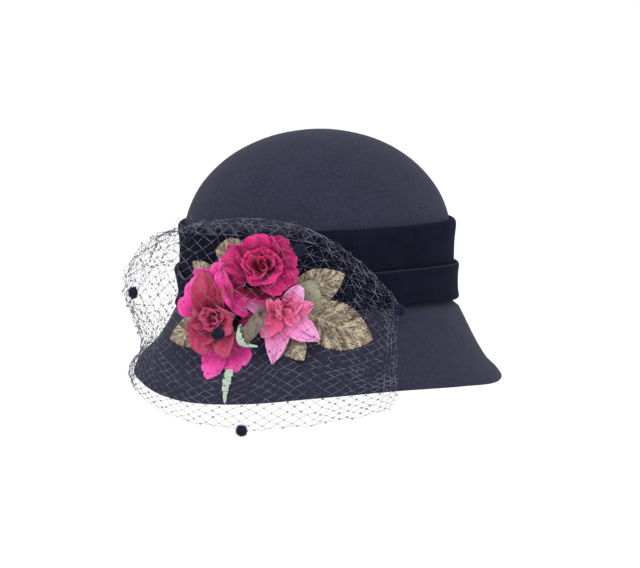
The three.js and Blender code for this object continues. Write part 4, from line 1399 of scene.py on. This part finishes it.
# chenille dots: the piece, two crossings of the part's net, counted across and down, the share of the way
# from one to the other, and how wide
dotRows = {
    "dot_front": ("frontDot", (8, 4), (9, 5), 0, 1),
    "dot_hem": ("hemDot", (13, 9), (15, 9), 0.9, 1),
    "dot_rose": ("roseDot", (13, 5), (14, 6), 0.45, 1.3),
    "dot_band": ("bandDot", (16, 2), (17, 3), 0.1, 1),
    "dot_ear": ("earDot", (21, 1), (22, 2), 0.7, 1),
}
dot = {
    "across": 22,
    "down": 9,
    "rings": 8,
    "round": 14,
    "radius": 4.2,
    "flat": 0.62,
    "lift": 0.9,
    "lump": 0.34,
    "pile": 1.7,
    "density": 12.0,
    "hair": 0.11,
    "palette": {"Dark": srgb(16, 16, 30), "Light": srgb(58, 58, 88)},
    "grain": {"Cloud Scale": 420.0, "Cloud": 0.6, "Fibre Scale": 1500.0, "Fleck": 2.2},
    "finish": {
        "Sheen Weight": 0.2,
        "Sheen Roughness": 0.4,
        "Sheen Tint": srgb(130, 134, 190),
        "Specular IOR Level": 0.2,
    },
    "bump": (0.3, 0.2),
}


def pileTree(material):
    tree, start = startTree("chenillePile", ("Pile", "Density"))
    ground = {"Mesh": start["Geometry"], "Density": start["Density"], "Seed": start["Seed"]}
    strewn = addNode(tree, "GeometryNodeDistributePointsOnFaces", ground).outputs
    taper = {"Vertices": 4, "Radius Top": 0.0, "Radius Bottom": dot["hair"] * mm, "Depth": start["Pile"]}
    hair = addNode(tree, "GeometryNodeMeshCone", taper).outputs[0]
    size = addNode(tree, "FunctionNodeRandomValue", {"Min": 0.6, "Max": 1.15}, data_type="FLOAT")
    ways = {"Min": (-0.5, -0.5, -3.1), "Max": (0.5, 0.5, 3.1)}
    lean = addNode(tree, "FunctionNodeRandomValue", ways, data_type="FLOAT_VECTOR")
    leaning = {"Rotation": strewn["Rotation"], "Rotate By": lean.outputs[0]}
    tilt = addNode(tree, "FunctionNodeRotateRotation", leaning, rotation_space="LOCAL")
    hairs = {
        "Points": strewn["Points"],
        "Instance": hair,
        "Rotation": tilt.outputs[0],
        "Scale": size.outputs[1],
    }
    planted = addNode(tree, "GeometryNodeInstanceOnPoints", hairs).outputs[0]
    return endTree(tree, (start["Geometry"], planted), material)


chenilleMaterial = fibreCloth("chenille", dot)
pile = pileTree(chenilleMaterial)


def veilSpot(i, j):
    # a place on the net and its normal
    across = i / dot["across"]
    down = j / dot["down"]
    along = veilPoint((i + 0.2) / dot["across"], down) - veilPoint((i - 0.2) / dot["across"], down)
    low = max(j - 0.2, 0) / dot["down"]
    high = min(j + 0.2, dot["down"]) / dot["down"]
    drop = veilPoint(across, high) - veilPoint(across, low)
    return veilPoint(across, down), drop.cross(along).normalized()


def chenilleDot(node, piece, near, far, share, wide, seed):
    place, normal = veilSpot(*near)
    farPlace, farNormal = veilSpot(*far)
    normal = normal.lerp(farNormal, share).normalized()
    core = dot["radius"] - 0.55 * dot["pile"]
    centre = place.lerp(farPlace, share) + normal * (dot["lift"] + dot["radius"] * dot["flat"])
    side = Vector((0, 0, 1)).cross(normal).normalized()
    other = normal.cross(side)
    side = side * wide
    rings = []
    for k in range(1, dot["rings"]):
        lift = math.cos(math.pi * k / dot["rings"])
        reach = math.sin(math.pi * k / dot["rings"])
        ring = []
        for a in range(dot["round"]):
            turn = 2 * math.pi * a / dot["round"]
            way = side * (math.cos(turn) * reach) + other * (math.sin(turn) * reach)
            lump = 1 + dot["lump"] * noise.noise(way * 1.7 + Vector((seed * 7, 0, lift)))
            ring.append(centre + (way * core + normal * (lift * core * dot["flat"])) * lump)
        rings.append(ring)
    poles = [centre + normal * (core * dot["flat"]), centre - normal * (core * dot["flat"])]
    points, faces = loft(rings, poles)
    piece = meshObject(piece, points, faces, chenilleMaterial)
    growing = piece.modifiers.new("growing", "NODES")
    growing.node_group = pile
    setInputs(growing, {"Pile": dot["pile"] * mm, "Density": dot["density"] / mm / mm, "Seed": seed})
    baked(piece)
    return settle(piece, "chenille", node)


for seed, (node, row) in enumerate(dotRows.items()):
    chenilleDot(node, *row, seed + 1)


# floor, well below the hat, which is held up at the head
floor = {"height": -0.8, "half": 600, "colour": (0.96, 0.96, 0.96, 1), "roughness": 0.9}

floorMesh = bpy.data.meshes.new("floor")
corners = [(-1, -1), (1, -1), (1, 1), (-1, 1)]
floorPoints = [(x * floor["half"], y * floor["half"], floor["height"]) for x, y in corners]
floorMesh.from_pydata(floorPoints, [], [(0, 1, 2, 3)])
floorMaterial = bpy.data.materials.new("floor")
floorMaterial.use_nodes = True
floorLooks = floorMaterial.node_tree.nodes["Principled BSDF"].inputs
floorLooks["Base Color"].default_value = floor["colour"]
floorLooks["Roughness"].default_value = floor["roughness"]
floorMesh.materials.append(floorMaterial)
floorPiece = bpy.data.objects.new("floor", floorMesh)
scene.collection.objects.link(floorPiece)

# soft studio light: white all round, a key from the right and above, a weaker fill from the left
lights = {
    "key": {"azimuth": 75, "lift": 42, "distance": 1.6, "size": 1.1, "power": 8},
    "fill": {"azimuth": 5, "lift": 24, "distance": 1.7, "size": 1.2, "power": 5},
}
skyStrength = 1.1
world = bpy.data.worlds.new("studio")
world.use_nodes = True
sky = world.node_tree.nodes["Background"].inputs
sky["Color"].default_value = (1, 1, 1, 1)
sky["Strength"].default_value = skyStrength
scene.world = world
for name, light in lights.items():
    data = bpy.data.lights.new(name, "AREA")
    data.size = light["size"]
    data.energy = light["power"]
    lamp = bpy.data.objects.new(name, data)
    way = facing(light["azimuth"], light["lift"])
    lamp.location = way * light["distance"]
    lamp.rotation_euler = (-way).to_track_quat("-Z", "Y").to_euler()
    scene.collection.objects.link(lamp)
scene.view_settings.view_transform = "Standard"
print("floor and lights placed")
